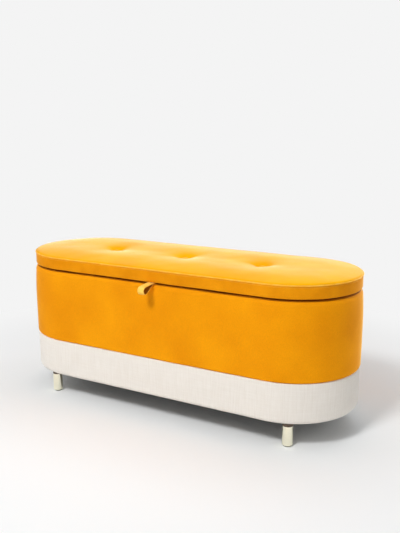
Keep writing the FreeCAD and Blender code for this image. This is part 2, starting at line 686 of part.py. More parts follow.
def crowned_body(name, inset, bottom):
    """The crowned top of the seat with its three hollows, `inset` inside the cover's face."""
    body = new_body(name)
    out, crest = f"worked.lid_out - {inset}", f"worked.crest_up - {inset}"
    top = f"worked.seat_top - {inset}"
    middle = new_sketch(body, "YZ_Plane")
    draw_crowned(middle, out, bottom, crest, top, True)
    add_feature(body, "Pad", Profile=middle, Length="2 * worked.span", SideType="Symmetric")
    end = new_sketch(body, "XZ_Plane", along="worked.span")
    draw_crowned(end, out, bottom, crest, top, False)
    right_end = add_feature(body, "Revolution", Profile=end, ReferenceAxis=(end, ["V_Axis"]),
                            Angle=180, Midplane=True)
    doc.recompute()
    left_end = add_feature(body, "Mirrored", Originals=[right_end],
                           MirrorPlane=(origin_feature(body, "YZ_Plane"), [""]))
    body.Tip = left_end
    round_edge(body, out, crest, f"sizes.edge_round - {inset}")
    hollow = new_sketch(body, "XZ_Plane", along="-sizes.tuft_spacing", up="worked.tuft_center")
    draw_circle_half(hollow, f"worked.tuft_radius + {inset}")
    turn(body, hollow, "Groove")
    repeat(body, "2 * sizes.tuft_spacing", 3, body.Tip)
    return body


def draw_circle_half(sketch, radius):
    """The right half of a disc about the sketch's origin."""
    reach = value(radius)
    quarter = math.pi / 2
    disc = Part.Circle(Vector(0, 0, 0), UP, reach)
    arc = sketch.addGeometry(Part.ArcOfCircle(disc, -quarter, quarter), False)
    side = sketch.addGeometry(Part.LineSegment(Vector(0, reach), Vector(0, -reach)), False)
    sketch.addConstraint(Sketcher.Constraint("Coincident", arc, 2, side, 1))
    sketch.addConstraint(Sketcher.Constraint("Coincident", side, 2, arc, 1))
    sketch.addConstraint(Sketcher.Constraint("Coincident", arc, 3, -1, 1))
    sketch.addConstraint(Sketcher.Constraint("PointOnObject", arc, 1, -2))
    sketch.addConstraint(Sketcher.Constraint("PointOnObject", arc, 2, -2))
    fix_radius(sketch, arc, radius)


def tuft_holes(radius):
    return [(shift, "0", radius) for shift in ("-sizes.tuft_spacing", "0", "sizes.tuft_spacing")]


def make_seat():
    foam = keep("lid_foam", crowned_body("lid_foam", "sizes.cloth", "worked.board_top"))
    drill(foam, "worked.board_top", "worked.seat_top - worked.board_top",
          tuft_holes("sizes.tie_radius + sizes.tie_play"))
    outside = crowned_body("cover_outside", "0", "worked.board_top")
    inside = crowned_body("cover_inside", "sizes.cloth", "worked.board_top")
    drill(outside, "worked.board_top", "worked.seat_top - worked.board_top",
          tuft_holes("sizes.tie_radius + sizes.tie_play"))
    below_piping = swept_body("below_piping", [
        ("worked.lid_fill_out", "worked.board_top"), ("worked.lid_out", "worked.board_top"),
        ("worked.lid_out", "worked.cover_bottom"), ("worked.lid_fill_out", "worked.cover_bottom")])
    shell = doc.addObject("Part::Cut", "seat_shell")
    shell.Base = outside
    shell.Tool = inside
    cover = doc.addObject("Part::Cut", "seat_cover")
    cover.Base = shell
    cover.Tool = below_piping
    keep("lid_cover", cover)


def make_lid_sides():
    band = sweep_round("lid_band", [
        ("worked.lid_wrap_in", "worked.lid_under"), ("worked.lid_out", "worked.lid_under"),
        ("worked.lid_out", "worked.band_top"), ("worked.lid_fill_out", "worked.band_top"),
        ("worked.lid_fill_out", "worked.board_bottom"),
        ("worked.lid_wrap_in", "worked.board_bottom")])
    round_edge(band, "worked.lid_out", "worked.lid_under", "sizes.band_round")
    drill(band, "worked.lid_under", "sizes.cloth", hinge_screw_holes())
    piping = new_body("lid_piping")
    path = new_sketch(piping, "XY_Plane")
    draw_stadium(path, "worked.lid_out")
    section = new_sketch(piping, "YZ_Plane")
    draw_circle(section, "worked.lid_out", "worked.piping_up", "sizes.piping_radius")
    add_feature(piping, "AdditivePipe", Profile=section, Spine=(path, []))
    keep("lid_piping", piping)


def make_lid_board():
    board = plate("lid_board", "worked.lid_fill_out", "worked.board_bottom", "sizes.board_thick")
    drill(board, "worked.board_bottom", "sizes.board_thick",
          tuft_holes("sizes.tie_radius + sizes.tie_play"))
    drill(board, "worked.board_bottom", "sizes.washer_thick", tuft_holes("sizes.washer_radius"))
    drill(board, "worked.board_bottom", "worked.screw_bite", hinge_screw_holes())
    drill(board, "worked.board_bottom", "worked.plate_bite", plate_screw_holes())
    lining = plate("lid_lining", "worked.lid_wrap_in", "worked.lid_under", "sizes.cloth")
    drill(lining, "worked.lid_under", "sizes.cloth", plate_screw_holes())


def make_buttons():
    """Covered buttons, each held down by a twine that is knotted on a washer below."""
    for name, across in (("left", "-sizes.tuft_spacing"), ("middle", "0"),
                         ("right", "sizes.tuft_spacing")):
        button = turned_piece("button_" + name, across, "0", [
            ("0", "worked.button_seat"), ("sizes.button_radius", "worked.button_seat"),
            ("sizes.button_radius", "worked.button_seat + sizes.button_side"),
            ("sizes.button_radius * sizes.button_brow",
             "worked.button_seat + sizes.button_height - sizes.button_fall"),
            ("0", "worked.button_seat + sizes.button_height")])
        keep("button_" + name, button)
    for name, corners in (
            ("button_ties", [
                ("0", "worked.board_bottom"), ("sizes.tie_radius", "worked.board_bottom"),
                ("sizes.tie_radius", "worked.button_seat"), ("0", "worked.button_seat")]),
            ("tie_washers", [
                ("sizes.tie_radius", "worked.board_bottom"),
                ("sizes.washer_radius", "worked.board_bottom"),
                ("sizes.washer_radius", "worked.board_bottom + sizes.washer_thick"),
                ("sizes.tie_radius", "worked.board_bottom + sizes.washer_thick")])):
        group = turned_piece(name, "-sizes.tuft_spacing", "0", corners)
        group.AllowCompound = True
        repeat(group, "2 * sizes.tuft_spacing", 3)
        keep(name, group)


def draw_nose(sketch, radius, root_high, root_low):
    """A loop's nose: an arc and the two straight plies that leave it at a tangent."""
    across = "-(worked.end_radius + sizes.tab_reach - sizes.tab_nose)"
    up = "worked.lid_under - sizes.tab_drop"
    center = Vector(value(across), value(up), 0)
    reach = value(radius)

    def touch(root, side):
        gap = center - root
        swing = math.asin(reach / gap.Length)
        heading = math.atan2(gap.y, gap.x) + side * swing
        return root + Vector(math.cos(heading), math.sin(heading), 0) * reach / math.tan(swing)

    high, low = touch(root_high, -1), touch(root_low, 1)
    start = math.atan2(high.y - center.y, high.x - center.x)
    stop = math.atan2(low.y - center.y, low.x - center.x) + 2 * math.pi
    arc = sketch.addGeometry(Part.ArcOfCircle(Part.Circle(center, UP, reach), start, stop), False)
    above = sketch.addGeometry(Part.LineSegment(root_high, high), False)
    below = sketch.addGeometry(Part.LineSegment(low, root_low), False)
    sketch.addConstraint(Sketcher.Constraint("Tangent", above, 2, arc, 1))
    sketch.addConstraint(Sketcher.Constraint("Tangent", arc, 2, below, 1))
    fix_radius(sketch, arc, radius)
    pin_point(sketch, arc, 3, across, up)
    return arc, above, below


def make_pull_tab():
    """A strap folded into a loop: two plies fixed under the lid, and a soft nose in front."""
    body = new_body("pull_tab")
    sketch = new_sketch(body, "YZ_Plane")
    root, tail = "-worked.end_radius + sizes.tab_root", "-worked.lid_wrap_in"
    high, low = "worked.lid_under", "worked.lid_under - 2 * sizes.tab_thick"
    root_high = Vector(value(root), value(high), 0)
    root_low = Vector(value(root), value(low), 0)
    _, above, below = draw_nose(sketch, "sizes.tab_nose", root_high, root_low)
    tail_high = Vector(value(tail), value(high), 0)
    tail_low = Vector(value(tail), value(low), 0)
    under = sketch.addGeometry(Part.LineSegment(root_low, tail_low), False)
    end = sketch.addGeometry(Part.LineSegment(tail_low, tail_high), False)
    over = sketch.addGeometry(Part.LineSegment(tail_high, root_high), False)
    for one, other in ((below, under), (under, end), (end, over), (over, above)):
        sketch.addConstraint(Sketcher.Constraint("Coincident", one, 2, other, 1))
    pin_point(sketch, under, 1, root, low)
    pin_point(sketch, end, 1, tail, low)
    pin_point(sketch, over, 1, tail, high)
    pin_point(sketch, above, 1, root, high)
    crotch = (root_high + root_low) * 0.5 - Vector(value("sizes.tab_crotch"), 0, 0)
    _, ceiling, floor = draw_nose(sketch, "sizes.tab_nose - sizes.tab_thick", crotch, crotch)
    sketch.addConstraint(Sketcher.Constraint("Coincident", floor, 2, ceiling, 1))
    sketch.addConstraint(Sketcher.Constraint("Parallel", above, ceiling))
    sketch.addConstraint(Sketcher.Constraint("Parallel", below, floor))
    add_feature(body, "Pad", Profile=sketch, Length="sizes.tab_width", SideType="Symmetric")
    keep("pull_tab", body)


# ---- Hinges ------------------------------------------------------------------------------


def leaf_body(name, plate_bottom, knuckle, bore, lengths, holes_from):
    """A leaf with its knuckles about the hinge axis; lengths are its knuckles' (start, end)."""
    body = new_body(name, separate=True)
    for start, stop in lengths:
        barrel = new_sketch(body, "YZ_Plane", out=start)
        draw_circle(barrel, "worked.hinge_out", "worked.hinge_up", knuckle)
        add_feature(body, "Pad", Profile=barrel, Length=f"({stop}) - ({start})")
        doc.recompute()
    flat = new_sketch(body, "XY_Plane", out=plate_bottom)
    half, front = "sizes.hinge_length / 2", "worked.hinge_out - sizes.leaf_reach"
    notch = "worked.hinge_out - sizes.leaf_clear"
    root = "worked.hinge_out - sizes.hinge_pin_radius - sizes.hinge_play"
    draw_box(flat, f"-{half}", front, half, notch)
    add_feature(body, "Pad", Profile=flat, Length="sizes.leaf_thick")
    doc.recompute()
    for start, stop in lengths:
        arm = new_sketch(body, "XY_Plane", out=plate_bottom)
        draw_box(arm, start, notch, stop, root)
        add_feature(body, "Pad", Profile=arm, Length="sizes.leaf_thick")
        doc.recompute()
    core = new_sketch(body, "YZ_Plane")
    draw_circle(core, "worked.hinge_out", "worked.hinge_up", bore)
    cut_feature(body, "Pocket", Profile=core, Length="sizes.hinge_length * 2", SideType="Symmetric")
    drill(body, plate_bottom, "sizes.leaf_thick",
          [(f"{screw} * sizes.screw_spacing", "worked.screw_out", "sizes.screw_radius")
           for screw in (-1, 0, 1)])
    sink = new_sketch(body, "XZ_Plane", along="-sizes.screw_spacing", out="-worked.screw_out")
    narrow, wide = holes_from
    draw_corners(sink, [("0", narrow), ("sizes.screw_radius", narrow), ("sizes.screw_head", wide),
                        ("0", wide)])
    turn(body, sink, "Groove")
    repeat(body, "2 * sizes.screw_spacing", 3, body.Tip)
    row_of_three(body)
    return keep(name, body)


def row_of_three(body):
    """The body's shape again on either side, one hinge spacing away."""
    body.AllowCompound = True
    repeat(body, "sizes.hinge_spacing", 2)
    mirror(body, "YZ_Plane")


def make_hinges():
    outer = [("-sizes.hinge_length / 2", "-worked.knuckle_end"),
             ("worked.knuckle_end", "sizes.hinge_length / 2")]
    inner = [("-worked.knuckle_end + sizes.knuckle_gap", "worked.knuckle_end - sizes.knuckle_gap")]
    rim_leaf = "worked.rim_top"
    lid_leaf = "worked.lid_under - sizes.leaf_thick"
    leaf_body("hinge_box_leaves", rim_leaf, "sizes.knuckle_radius", "sizes.hinge_pin_radius",
              outer, (rim_leaf, f"{rim_leaf} + sizes.leaf_thick"))
    leaf_body("hinge_lid_leaves", lid_leaf, "sizes.knuckle_radius",
              "sizes.hinge_pin_radius + sizes.hinge_play", inner,
              ("worked.lid_under", lid_leaf))
    pins = new_body("hinge_pins", separate=True)
    sketch = new_sketch(pins, "YZ_Plane")
    draw_circle(sketch, "worked.hinge_out", "worked.hinge_up", "sizes.hinge_pin_radius")
    add_feature(pins, "Pad", Profile=sketch, Length="sizes.hinge_length", SideType="Symmetric")
    doc.recompute()
    row_of_three(pins)
    keep("hinge_pins", pins)
    for name, head, way in (("hinge_box_screws", "worked.rim_top + sizes.leaf_thick", -1),
                            ("hinge_lid_screws", "worked.lid_under - sizes.leaf_thick", 1)):
        screws = turned_piece(name, "-sizes.screw_spacing", "worked.screw_out",
                              screw_profile(head, way))
        screws.AllowCompound = True
        repeat(screws, "2 * sizes.screw_spacing", 3)
        row_of_three(screws)
        keep(name, screws)


def screw_profile(head, way):
    """A countersunk screw whose head is flush at height `head`; way is -1 down or 1 up."""
    neck = f"{head} + {way} * sizes.leaf_thick"
    tip = f"{head} + {way} * sizes.screw_length"
    return [("0", head), ("sizes.screw_head", head), ("sizes.screw_radius", neck),
            ("sizes.screw_radius", f"{tip} - {way} * sizes.screw_tip"), ("0", tip)]


# ---- Stays -------------------------------------------------------------------------------


def lean(piece, along, up, side):
    """Stands a piece that is modelled along Z at a pivot, at the closed stay's angle."""
    piece.Placement = FreeCAD.Placement(
        Vector(side * value("worked.strut_x"), value(along), value(up)),
        FreeCAD.Rotation(Vector(1, 0, 0), value("worked.stay_lean")))


def eye(name, reach, upwards):
    """An eye about the pivot, with a shank that runs along the stay."""
    body = new_body(name)
    disc = new_sketch(body, "YZ_Plane")
    draw_circle(disc, "0", "0", "sizes.eye_radius")
    add_feature(body, "Pad", Profile=disc, Length="sizes.eye_thick", SideType="Symmetric")
    shank = new_sketch(body, "XY_Plane")
    draw_circle(shank, "0", "0", "sizes.eye_shank")
    add_feature(body, "Pad", Profile=shank, Length=reach, Reversed=not upwards)
    hole = new_sketch(body, "YZ_Plane")
    draw_circle(hole, "0", "0", "worked.eye_bore")
    cut_feature(body, "Pocket", Profile=hole, Length="sizes.eye_thick * 2", SideType="Symmetric")
    return body


def make_stay(end, side):
    """One sliding stay: a tube that turns on the box, and a rod that turns on the lid."""
    mouth = "worked.tube_end"
    tube_floor = "sizes.tube_start + sizes.tube_floor"
    piston_top = "-(worked.rod_end - sizes.piston_length)"
    low = {
        "strut_eye_low_": eye("eye_low_" + end, "sizes.tube_start", True),
        "strut_tube_": turned_piece("tube_" + end, "0", "0", [
            ("0", "sizes.tube_start"), ("sizes.tube_radius", "sizes.tube_start"),
            ("sizes.tube_radius", mouth), ("worked.tube_bore", mouth),
            ("worked.tube_bore", tube_floor), ("0", tube_floor)]),
        "strut_gland_": turned_piece("gland_" + end, "0", "0", [
            ("worked.gland_bore", mouth + " - sizes.gland_depth"),
            ("worked.tube_bore", mouth + " - sizes.gland_depth"), ("worked.tube_bore", mouth),
            ("sizes.tube_radius", mouth), ("sizes.tube_radius", mouth + " + sizes.gland_lip"),
            ("worked.gland_bore", mouth + " + sizes.gland_lip")])}
    high = {
        "strut_eye_high_": eye("eye_high_" + end, "sizes.rod_start", False),
        "strut_rod_": turned_piece("rod_" + end, "0", "0", [
            ("0", "-sizes.rod_start"), ("sizes.rod_radius", "-sizes.rod_start"),
            ("sizes.rod_radius", piston_top), ("0", piston_top)]),
        "strut_piston_": turned_piece("piston_" + end, "0", "0", [
            ("0", piston_top), ("worked.piston_radius", piston_top),
            ("worked.piston_radius", "-worked.rod_end"), ("0", "-worked.rod_end")])}
    doc.recompute()
    for name, piece in low.items():
        lean(piece, "worked.low_y", "worked.low_z", side)
        keep(name + end, piece)
    for name, piece in high.items():
        lean(piece, "worked.high_y", "worked.high_z", side)
        keep(name + end, piece)


def bracket(name, along, up, plate_plane, plate_out, plate_box, tongue_box, holes):
    """A pair of brackets: a screwed plate, a tongue and the headed stud that the eye turns on."""
    body = new_body(name, separate=True)
    flat = new_sketch(body, plate_plane, out=plate_out)
    half = "sizes.plate_width / 2"
    draw_box(flat, f"worked.plate_x - {half}", plate_box[0], f"worked.plate_x + {half}", plate_box[1])
    add_feature(body, "Pad", Profile=flat, Length="sizes.plate_thick",
                Reversed=plate_plane == "XY_Plane")
    tongue = new_sketch(body, "YZ_Plane", out="worked.tongue_x")
    draw_box(tongue, *tongue_box)
    add_feature(body, "Pad", Profile=tongue, Length="sizes.tongue_thick")
    boss = new_sketch(body, "YZ_Plane", out="worked.tongue_x")
    draw_circle(boss, along, up, "sizes.eye_radius")
    add_feature(body, "Pad", Profile=boss, Length="sizes.tongue_thick")
    stem = new_sketch(body, "YZ_Plane", out="worked.tongue_x")
    draw_circle(stem, along, up, "sizes.pivot_radius")
    add_feature(body, "Pad", Profile=stem, Length="2 * worked.eye_side", Reversed=True)
    head = new_sketch(body, "YZ_Plane", out="worked.strut_x - worked.eye_side")
    draw_circle(head, along, up, "sizes.pivot_radius + sizes.pivot_head_lip")
    add_feature(body, "Pad", Profile=head, Length="sizes.pivot_head", Reversed=True)
    for low, high in holes:
        sink = new_sketch(body, "XZ_Plane" if plate_plane == "XY_Plane" else "XY_Plane",
                          along="worked.plate_x", out=low)
        draw_corners(sink, high)
        turn(body, sink, "Groove")
    mirror(body, "YZ_Plane")
    return keep(name, body)


def plate_screw(head, way):
    """Half the outline of a bracket's countersunk screw, along its own axis."""
    neck = f"{head} + {way} * sizes.plate_thick"
    tip = f"{head} + {way} * sizes.screw_length"
    return [("0", head), ("sizes.screw_head", head), ("sizes.screw_radius", neck),
            ("sizes.screw_radius", f"{tip} - {way} * sizes.screw_tip"), ("0", tip)]


def make_stays():
    make_stay("left", -1)
    make_stay("right", 1)
    reach = "sizes.eye_radius"
    wall_face = "worked.lining_in - sizes.plate_thick"
    foot_screw = plate_screw(wall_face, 1)
    bracket("strut_feet", "worked.low_y", "worked.low_z", "XZ_Plane", "-worked.lining_in",
            ("worked.low_z - sizes.plate_length / 2", "worked.low_z + sizes.plate_length / 2"),
            ("worked.low_y", f"worked.low_z - {reach}", wall_face, f"worked.low_z + {reach}"),
            [(f"worked.low_z + {end} * sizes.plate_screws / 2", foot_screw) for end in (-1, 1)])
    lid_face = "worked.lid_under - sizes.plate_thick"
    head_screw = plate_screw(lid_face, 1)
    bracket("strut_heads", "worked.high_y", "worked.high_z", "XY_Plane", "worked.lid_under",
            ("worked.high_y - sizes.plate_length / 2", "worked.high_y + sizes.plate_length / 2"),
            (f"worked.high_y - {reach}", "worked.high_z", f"worked.high_y + {reach}", lid_face),
            [(f"-(worked.high_y + {end} * sizes.plate_screws / 2)", head_screw)
             for end in (-1, 1)])
    for name, plane, places, outline in (
            ("strut_foot_screws", "XY_Plane", "worked.low_z", foot_screw),
            ("strut_head_screws", "XZ_Plane", "worked.high_y", head_screw)):
        body = new_body(name, separate=True)
        for end in (-1, 1):
            place = f"{places} + {end} * sizes.plate_screws / 2"
            sketch = new_sketch(body, plane, along="worked.plate_x",
                                out=place if plane == "XY_Plane" else f"-({place})")
            draw_corners(sketch, outline)
            turn(body, sketch)
        doc.recompute()
        mirror(body, "YZ_Plane")
        keep(name, body)


doc.recompute()
make_base()
make_top_ring()
make_studs()
make_wall_layers()
make_box_cover()
make_plinth_cover()
make_linings()
make_legs()
make_bumpers()
make_seat()
make_lid_sides()
make_lid_board()
make_buttons()
make_pull_tab()
make_hinges()
make_stays()
doc.recompute()

for thing in doc.Objects:
    if {"Invalid", "Error"} & set(thing.State):
        raise ValueError(f"{thing.Name} is not sound: {thing.State}")
for name, piece in pieces.items():
    if piece.Shape.isNull() or not piece.Shape.isValid():
        raise ValueError(f"{name} has no valid shape")

os.makedirs("parts", exist_ok=True)
for name, piece in pieces.items():
    piece.Shape.exportStep(f"parts/{name}.step")
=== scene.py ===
# %% [markdown]
# # A velvet ottoman with a storage box
#
# The real object is an upholstered box with rounded ends: a linen plinth on four brass legs,
# a velvet wall, and a tufted lid on three hinges and two stays. Its rigid pieces come from a
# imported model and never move; this lesson gives them their finishes and sews the cloth round
# them. Everything is in metres, X along the box, -Y its front and Z up.

# %% Load the solids as a fixed frame
import math
from contextlib import contextmanager

import bmesh
import bpy
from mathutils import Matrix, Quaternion, Vector, noise


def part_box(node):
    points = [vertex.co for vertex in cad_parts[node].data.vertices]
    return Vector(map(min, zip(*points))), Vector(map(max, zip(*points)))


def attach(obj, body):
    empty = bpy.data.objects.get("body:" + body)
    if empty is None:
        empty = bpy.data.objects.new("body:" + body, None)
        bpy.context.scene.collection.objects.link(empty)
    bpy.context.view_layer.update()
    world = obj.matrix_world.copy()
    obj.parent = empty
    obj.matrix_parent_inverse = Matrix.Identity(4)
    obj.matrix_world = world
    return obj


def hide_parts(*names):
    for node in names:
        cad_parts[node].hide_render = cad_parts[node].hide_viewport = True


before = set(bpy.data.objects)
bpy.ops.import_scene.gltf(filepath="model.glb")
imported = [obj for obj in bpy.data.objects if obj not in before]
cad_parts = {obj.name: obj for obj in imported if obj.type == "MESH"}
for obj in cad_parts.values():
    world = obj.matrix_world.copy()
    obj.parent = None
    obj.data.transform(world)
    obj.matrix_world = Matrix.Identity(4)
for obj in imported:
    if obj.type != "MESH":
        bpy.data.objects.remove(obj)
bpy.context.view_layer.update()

mm = 0.001

# %% [markdown]
# ## The driving sizes
#
# Seen from above, every layer of this box is the same figure: a straight spine along X, and
# everything within one radius of it. So a place on any cover is given by a place on the spine,
# a direction out of it, a radius and a height. The radii and heights are read from the solids.

# %% Read the spine, the radii and the heights
box_low, box_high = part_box("box_cover")
plinth_low, plinth_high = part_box("plinth_cover")
band_low, band_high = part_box("lid_band")
piping_low, piping_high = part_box("lid_piping")
wall_lining_low, wall_lining_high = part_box("wall_lining")
dust_low, dust_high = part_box("dust_cover")

span = box_high.x - box_high.y
body_radius = box_high.y
plinth_radius = plinth_high.y
lid_radius = band_high.y
rim_width = 35 * mm
mouth_radius = body_radius - rim_width
cloth = 2 * mm
hairline = 0.1 * mm  # what lies on a surface stands off it by this much
print("spine", round(2 * span, 4), "radii", round(body_radius, 4), round(lid_radius, 4))

# %% [markdown]
# ## The camera
#
# The view is from the front right, a little above the lid, so the seat is seen at a shallow
# angle and both its crest and the whole front show. The camera is placed by an azimuth, an
# elevation and a distance from the point it looks at, which is how a studio shot is set up.

# %% Set up the camera
view_azimuth = math.radians(29.5)
view_elevation = math.radians(11.8)
view_distance = 2.085
view_target = Vector((0.047, 0.0, 0.4365))
lens_mm = 46.0
sensor_mm = 36.0

camera_data = bpy.data.cameras.new("camera")
camera_data.lens = lens_mm
camera_data.sensor_width = sensor_mm
camera = bpy.data.objects.new("camera", camera_data)
bpy.context.scene.collection.objects.link(camera)
backwards = Vector((
    math.sin(view_azimuth) * math.cos(view_elevation),
    -math.cos(view_azimuth) * math.cos(view_elevation),
    math.sin(view_elevation),
))
camera.location = view_target + view_distance * backwards
camera.rotation_euler = (-backwards).to_track_quat("-Z", "Y").to_euler()
bpy.context.scene.camera = camera
print("camera at", [round(c, 3) for c in camera.location])

# %% [markdown]
# ## Colours and nodes
#
# Colours are picked as sRGB hex values, as on a paint card, but the renderer works with linear
# light, so one function turns them over. A second function adds a node to a tree with its
# settings and links, which keeps every material below short.

# %% Two small helpers for materials


def hue(hex_value):
    """An sRGB hex colour as linear red, green, blue and alpha."""
    channels = [int(hex_value[k:k + 2], 16) / 255 for k in (0, 2, 4)]
    linear = [c / 12.92 if c <= 0.04045 else ((c + 0.055) / 1.055) ** 2.4 for c in channels]
    return (*linear, 1.0)


def node(tree, kind, inputs=None, **settings):
    """Adds a node; an input that is given a socket is linked, and any other value is set."""
    made = tree.nodes.new(kind)
    for key, setting in settings.items():
        setattr(made, key, setting)
    for key, given in (inputs or {}).items():
        if isinstance(given, bpy.types.NodeSocket):
            tree.links.new(given, made.inputs[key])
        else:
            made.inputs[key].default_value = given
    return made


def new_material(name):
    """An empty material, and its tree."""
    made = bpy.data.materials.new(name)
    made.use_nodes = True
    made.node_tree.nodes.clear()
    return made, made.node_tree


COLOUR_A, COLOUR_B, COLOUR_OUT = 6, 7, 2  # a colour mix node has these as its own sockets

# %% [markdown]
# ## The stage and the light
#
# The floor is a wide sheet of pale paper. Close to the box it is an ordinary matt surface, so
# it takes the soft shadow; further out it turns into the plain tone of the backdrop, so that
# no horizon shows. A lamp high in front draws the dark line under the lid and the shadow under
# the base, one on each side opens the round ends, and a wide low one behind grazes the seat,
# which is what makes the pile of the velvet glow there; it is flagged off the floor, so it
# lights only the upholstery. A dim even room fills the rest.

# %% Make the floor and the world
backdrop = hue("F4F4F4")
paper = hue("F2F4F5")
fade_start, fade_end = 0.55, 1.35


def any_ray(tree, *kinds):
    """A socket that is 1 for rays of the given kinds and 0 for the others."""
    light_path = node(tree, "ShaderNodeLightPath")
    found = light_path.outputs[kinds[0]]
    for kind in kinds[1:]:
        found = node(tree, "ShaderNodeMath", {0: found, 1: light_path.outputs[kind]},
                     operation="MAXIMUM").outputs[0]
    return found


floor_material, tree = new_material("matt_paper_floor")
seen = any_ray(tree, "Is Camera Ray", "Is Glossy Ray")
place = node(tree, "ShaderNodeTexCoord")
away = node(tree, "ShaderNodeVectorMath", {0: place.outputs["Object"]}, operation="LENGTH")
far = node(tree, "ShaderNodeMapRange", {
    "Value": away.outputs["Value"], "From Min": fade_start, "From Max": fade_end},
    interpolation_type="SMOOTHSTEP")
fade = node(tree, "ShaderNodeMath", {0: far.outputs["Result"], 1: seen}, operation="MULTIPLY")
matt = node(tree, "ShaderNodeBsdfDiffuse", {"Color": paper})
plain = node(tree, "ShaderNodeEmission", {"Color": backdrop, "Strength": 1.0})
blended = node(tree, "ShaderNodeMixShader", {0: fade.outputs[0], 1: matt.outputs[0],
                                             2: plain.outputs[0]})
node(tree, "ShaderNodeOutputMaterial", {"Surface": blended.outputs[0]})

floor_half = 40.0
floor_mesh = bpy.data.meshes.new("floor")
floor_mesh.from_pydata([(-floor_half, -floor_half, 0), (floor_half, -floor_half, 0),
                        (floor_half, floor_half, 0), (-floor_half, floor_half, 0)],
                       [], [(0, 1, 2, 3)])
floor = bpy.data.objects.new("floor", floor_mesh)
bpy.context.scene.collection.objects.link(floor)
floor_mesh.materials.append(floor_material)

room_strength = 0.32
world = bpy.data.worlds.new("bright_room")
bpy.context.scene.world = world
world.use_nodes = True
tree = world.node_tree
tree.nodes.clear()
seen = any_ray(tree, "Is Camera Ray", "Is Glossy Ray", "Is Transmission Ray")
room = node(tree, "ShaderNodeBackground", {"Color": hue("FFFFFF"), "Strength": room_strength})
sky = node(tree, "ShaderNodeBackground", {"Color": backdrop, "Strength": 1.0})
blended = node(tree, "ShaderNodeMixShader", {0: seen, 1: room.outputs[0], 2: sky.outputs[0]})
node(tree, "ShaderNodeOutputWorld", {"Surface": blended.outputs[0]})

# %% Hang the lamps


def soft_lamp(name, at, towards, width, height, watts):
    """A large rectangular softbox."""
    lamp_data = bpy.data.lights.new(name, "AREA")
    lamp_data.shape = "RECTANGLE"
    lamp_data.size = width
    lamp_data.size_y = height
    lamp_data.energy = watts
    lamp = bpy.data.objects.new(name, lamp_data)
    lamp.location = at
    lamp.rotation_euler = (Vector(towards) - Vector(at)).to_track_quat("-Z", "Y").to_euler()
    bpy.context.scene.collection.objects.link(lamp)
    return lamp


seat_middle = (0, 0, 0.4)
soft_lamp("softbox_front", (-0.1, -2.5, 2.9), seat_middle, 0.8, 0.6, 72)
soft_lamp("softbox_left", (-2.9, -1.0, 1.7), seat_middle, 1.8, 1.4, 13)
soft_lamp("softbox_above", (0.2, 0.9, 3.0), seat_middle, 2.4, 1.6, 24)
soft_lamp("softbox_right", (3.0, -0.3, 1.9), seat_middle, 1.6, 1.4, 8)
softbox_behind = soft_lamp("softbox_behind", (1.0, 3.0, 1.0), seat_middle, 3.0, 0.9, 98)
grazed = bpy.data.collections.new("lit_from_behind")
softbox_behind.light_linking.receiver_collection = grazed
view = bpy.context.scene.view_settings
view.view_transform = "Standard"
print("stage ready; room", room_strength)

# %% [markdown]
# ## Velvet
#
# Cotton velvet is a plain weave with a dense standing pile, here a golden yellow. Looked at
# straight on, light goes down between the hairs and comes back deep and saturated; looked at
# along the surface, the hairs' sides catch it and the cloth turns pale. The shader's sheen
# layer does just that. The seat's pile lies towards the back, so that piece is given more of
# it than the walls, whose pile hangs down; its base colour is also lighter and yellower, which
# is painted light on the top. A hand brushed over the pile leaves broad faint patches, which
# are a low noise in the colour; the pile itself is a fine noise, drawn out along its lie and
# shown at 1.8 mm, because real pile is too fine to see. The band round the lid is a darker
# copy, a painted shade. The piping and the tab are paler copies, a painted highlight, and a
# dark copy is a painted shade in the gap under the lid and inside the tab's loop.

# %% Make the velvet


def velvet(name, deep, bright, sheen, sheen_weight, patch_mm=130):
    """Brushed velvet between two tones; sheen is the pale tone of its hairs."""
    pile_mm = 1.8
    made, tree = new_material(name)
    place = node(tree, "ShaderNodeTexCoord")
    patches = node(tree, "ShaderNodeTexNoise", {
        "Vector": place.outputs["Object"], "Scale": 1 / (patch_mm * mm), "Detail": 2.0,
        "Roughness": 0.45})
    brushed = node(tree, "ShaderNodeMapping", {
        "Vector": place.outputs["Object"], "Scale": (1.0, 1.0, 0.45)})
    pile = node(tree, "ShaderNodeTexNoise", {
        "Vector": brushed.outputs["Vector"], "Scale": 1 / (pile_mm * mm), "Detail": 3.0,
        "Roughness": 0.65})
    tone = node(tree, "ShaderNodeMapRange", {
        "Value": patches.outputs["Fac"], "From Min": 0.3, "From Max": 0.7})
    colour = node(tree, "ShaderNodeMix", {
        0: tone.outputs["Result"], COLOUR_A: hue(deep), COLOUR_B: hue(bright)},
        data_type="RGBA")
    speck = node(tree, "ShaderNodeMapRange", {
        "Value": pile.outputs["Fac"], "From Min": 0.25, "From Max": 0.75,
        "To Min": 0.9, "To Max": 1.08})
    mottled = node(tree, "ShaderNodeVectorMath", {
        0: colour.outputs[COLOUR_OUT], "Scale": speck.outputs["Result"]}, operation="SCALE")
    relief = node(tree, "ShaderNodeBump", {
        "Height": pile.outputs["Fac"], "Strength": 0.3, "Distance": 0.4 * mm})
    surface = node(tree, "ShaderNodeBsdfPrincipled", {
        "Base Color": mottled.outputs[0], "Roughness": 0.85, "Specular IOR Level": 0.1,
        "Sheen Weight": sheen_weight, "Sheen Roughness": 0.22, "Sheen Tint": hue(sheen),
        "Normal": relief.outputs["Normal"]})
    node(tree, "ShaderNodeOutputMaterial", {"Surface": surface.outputs[0]})
    return made
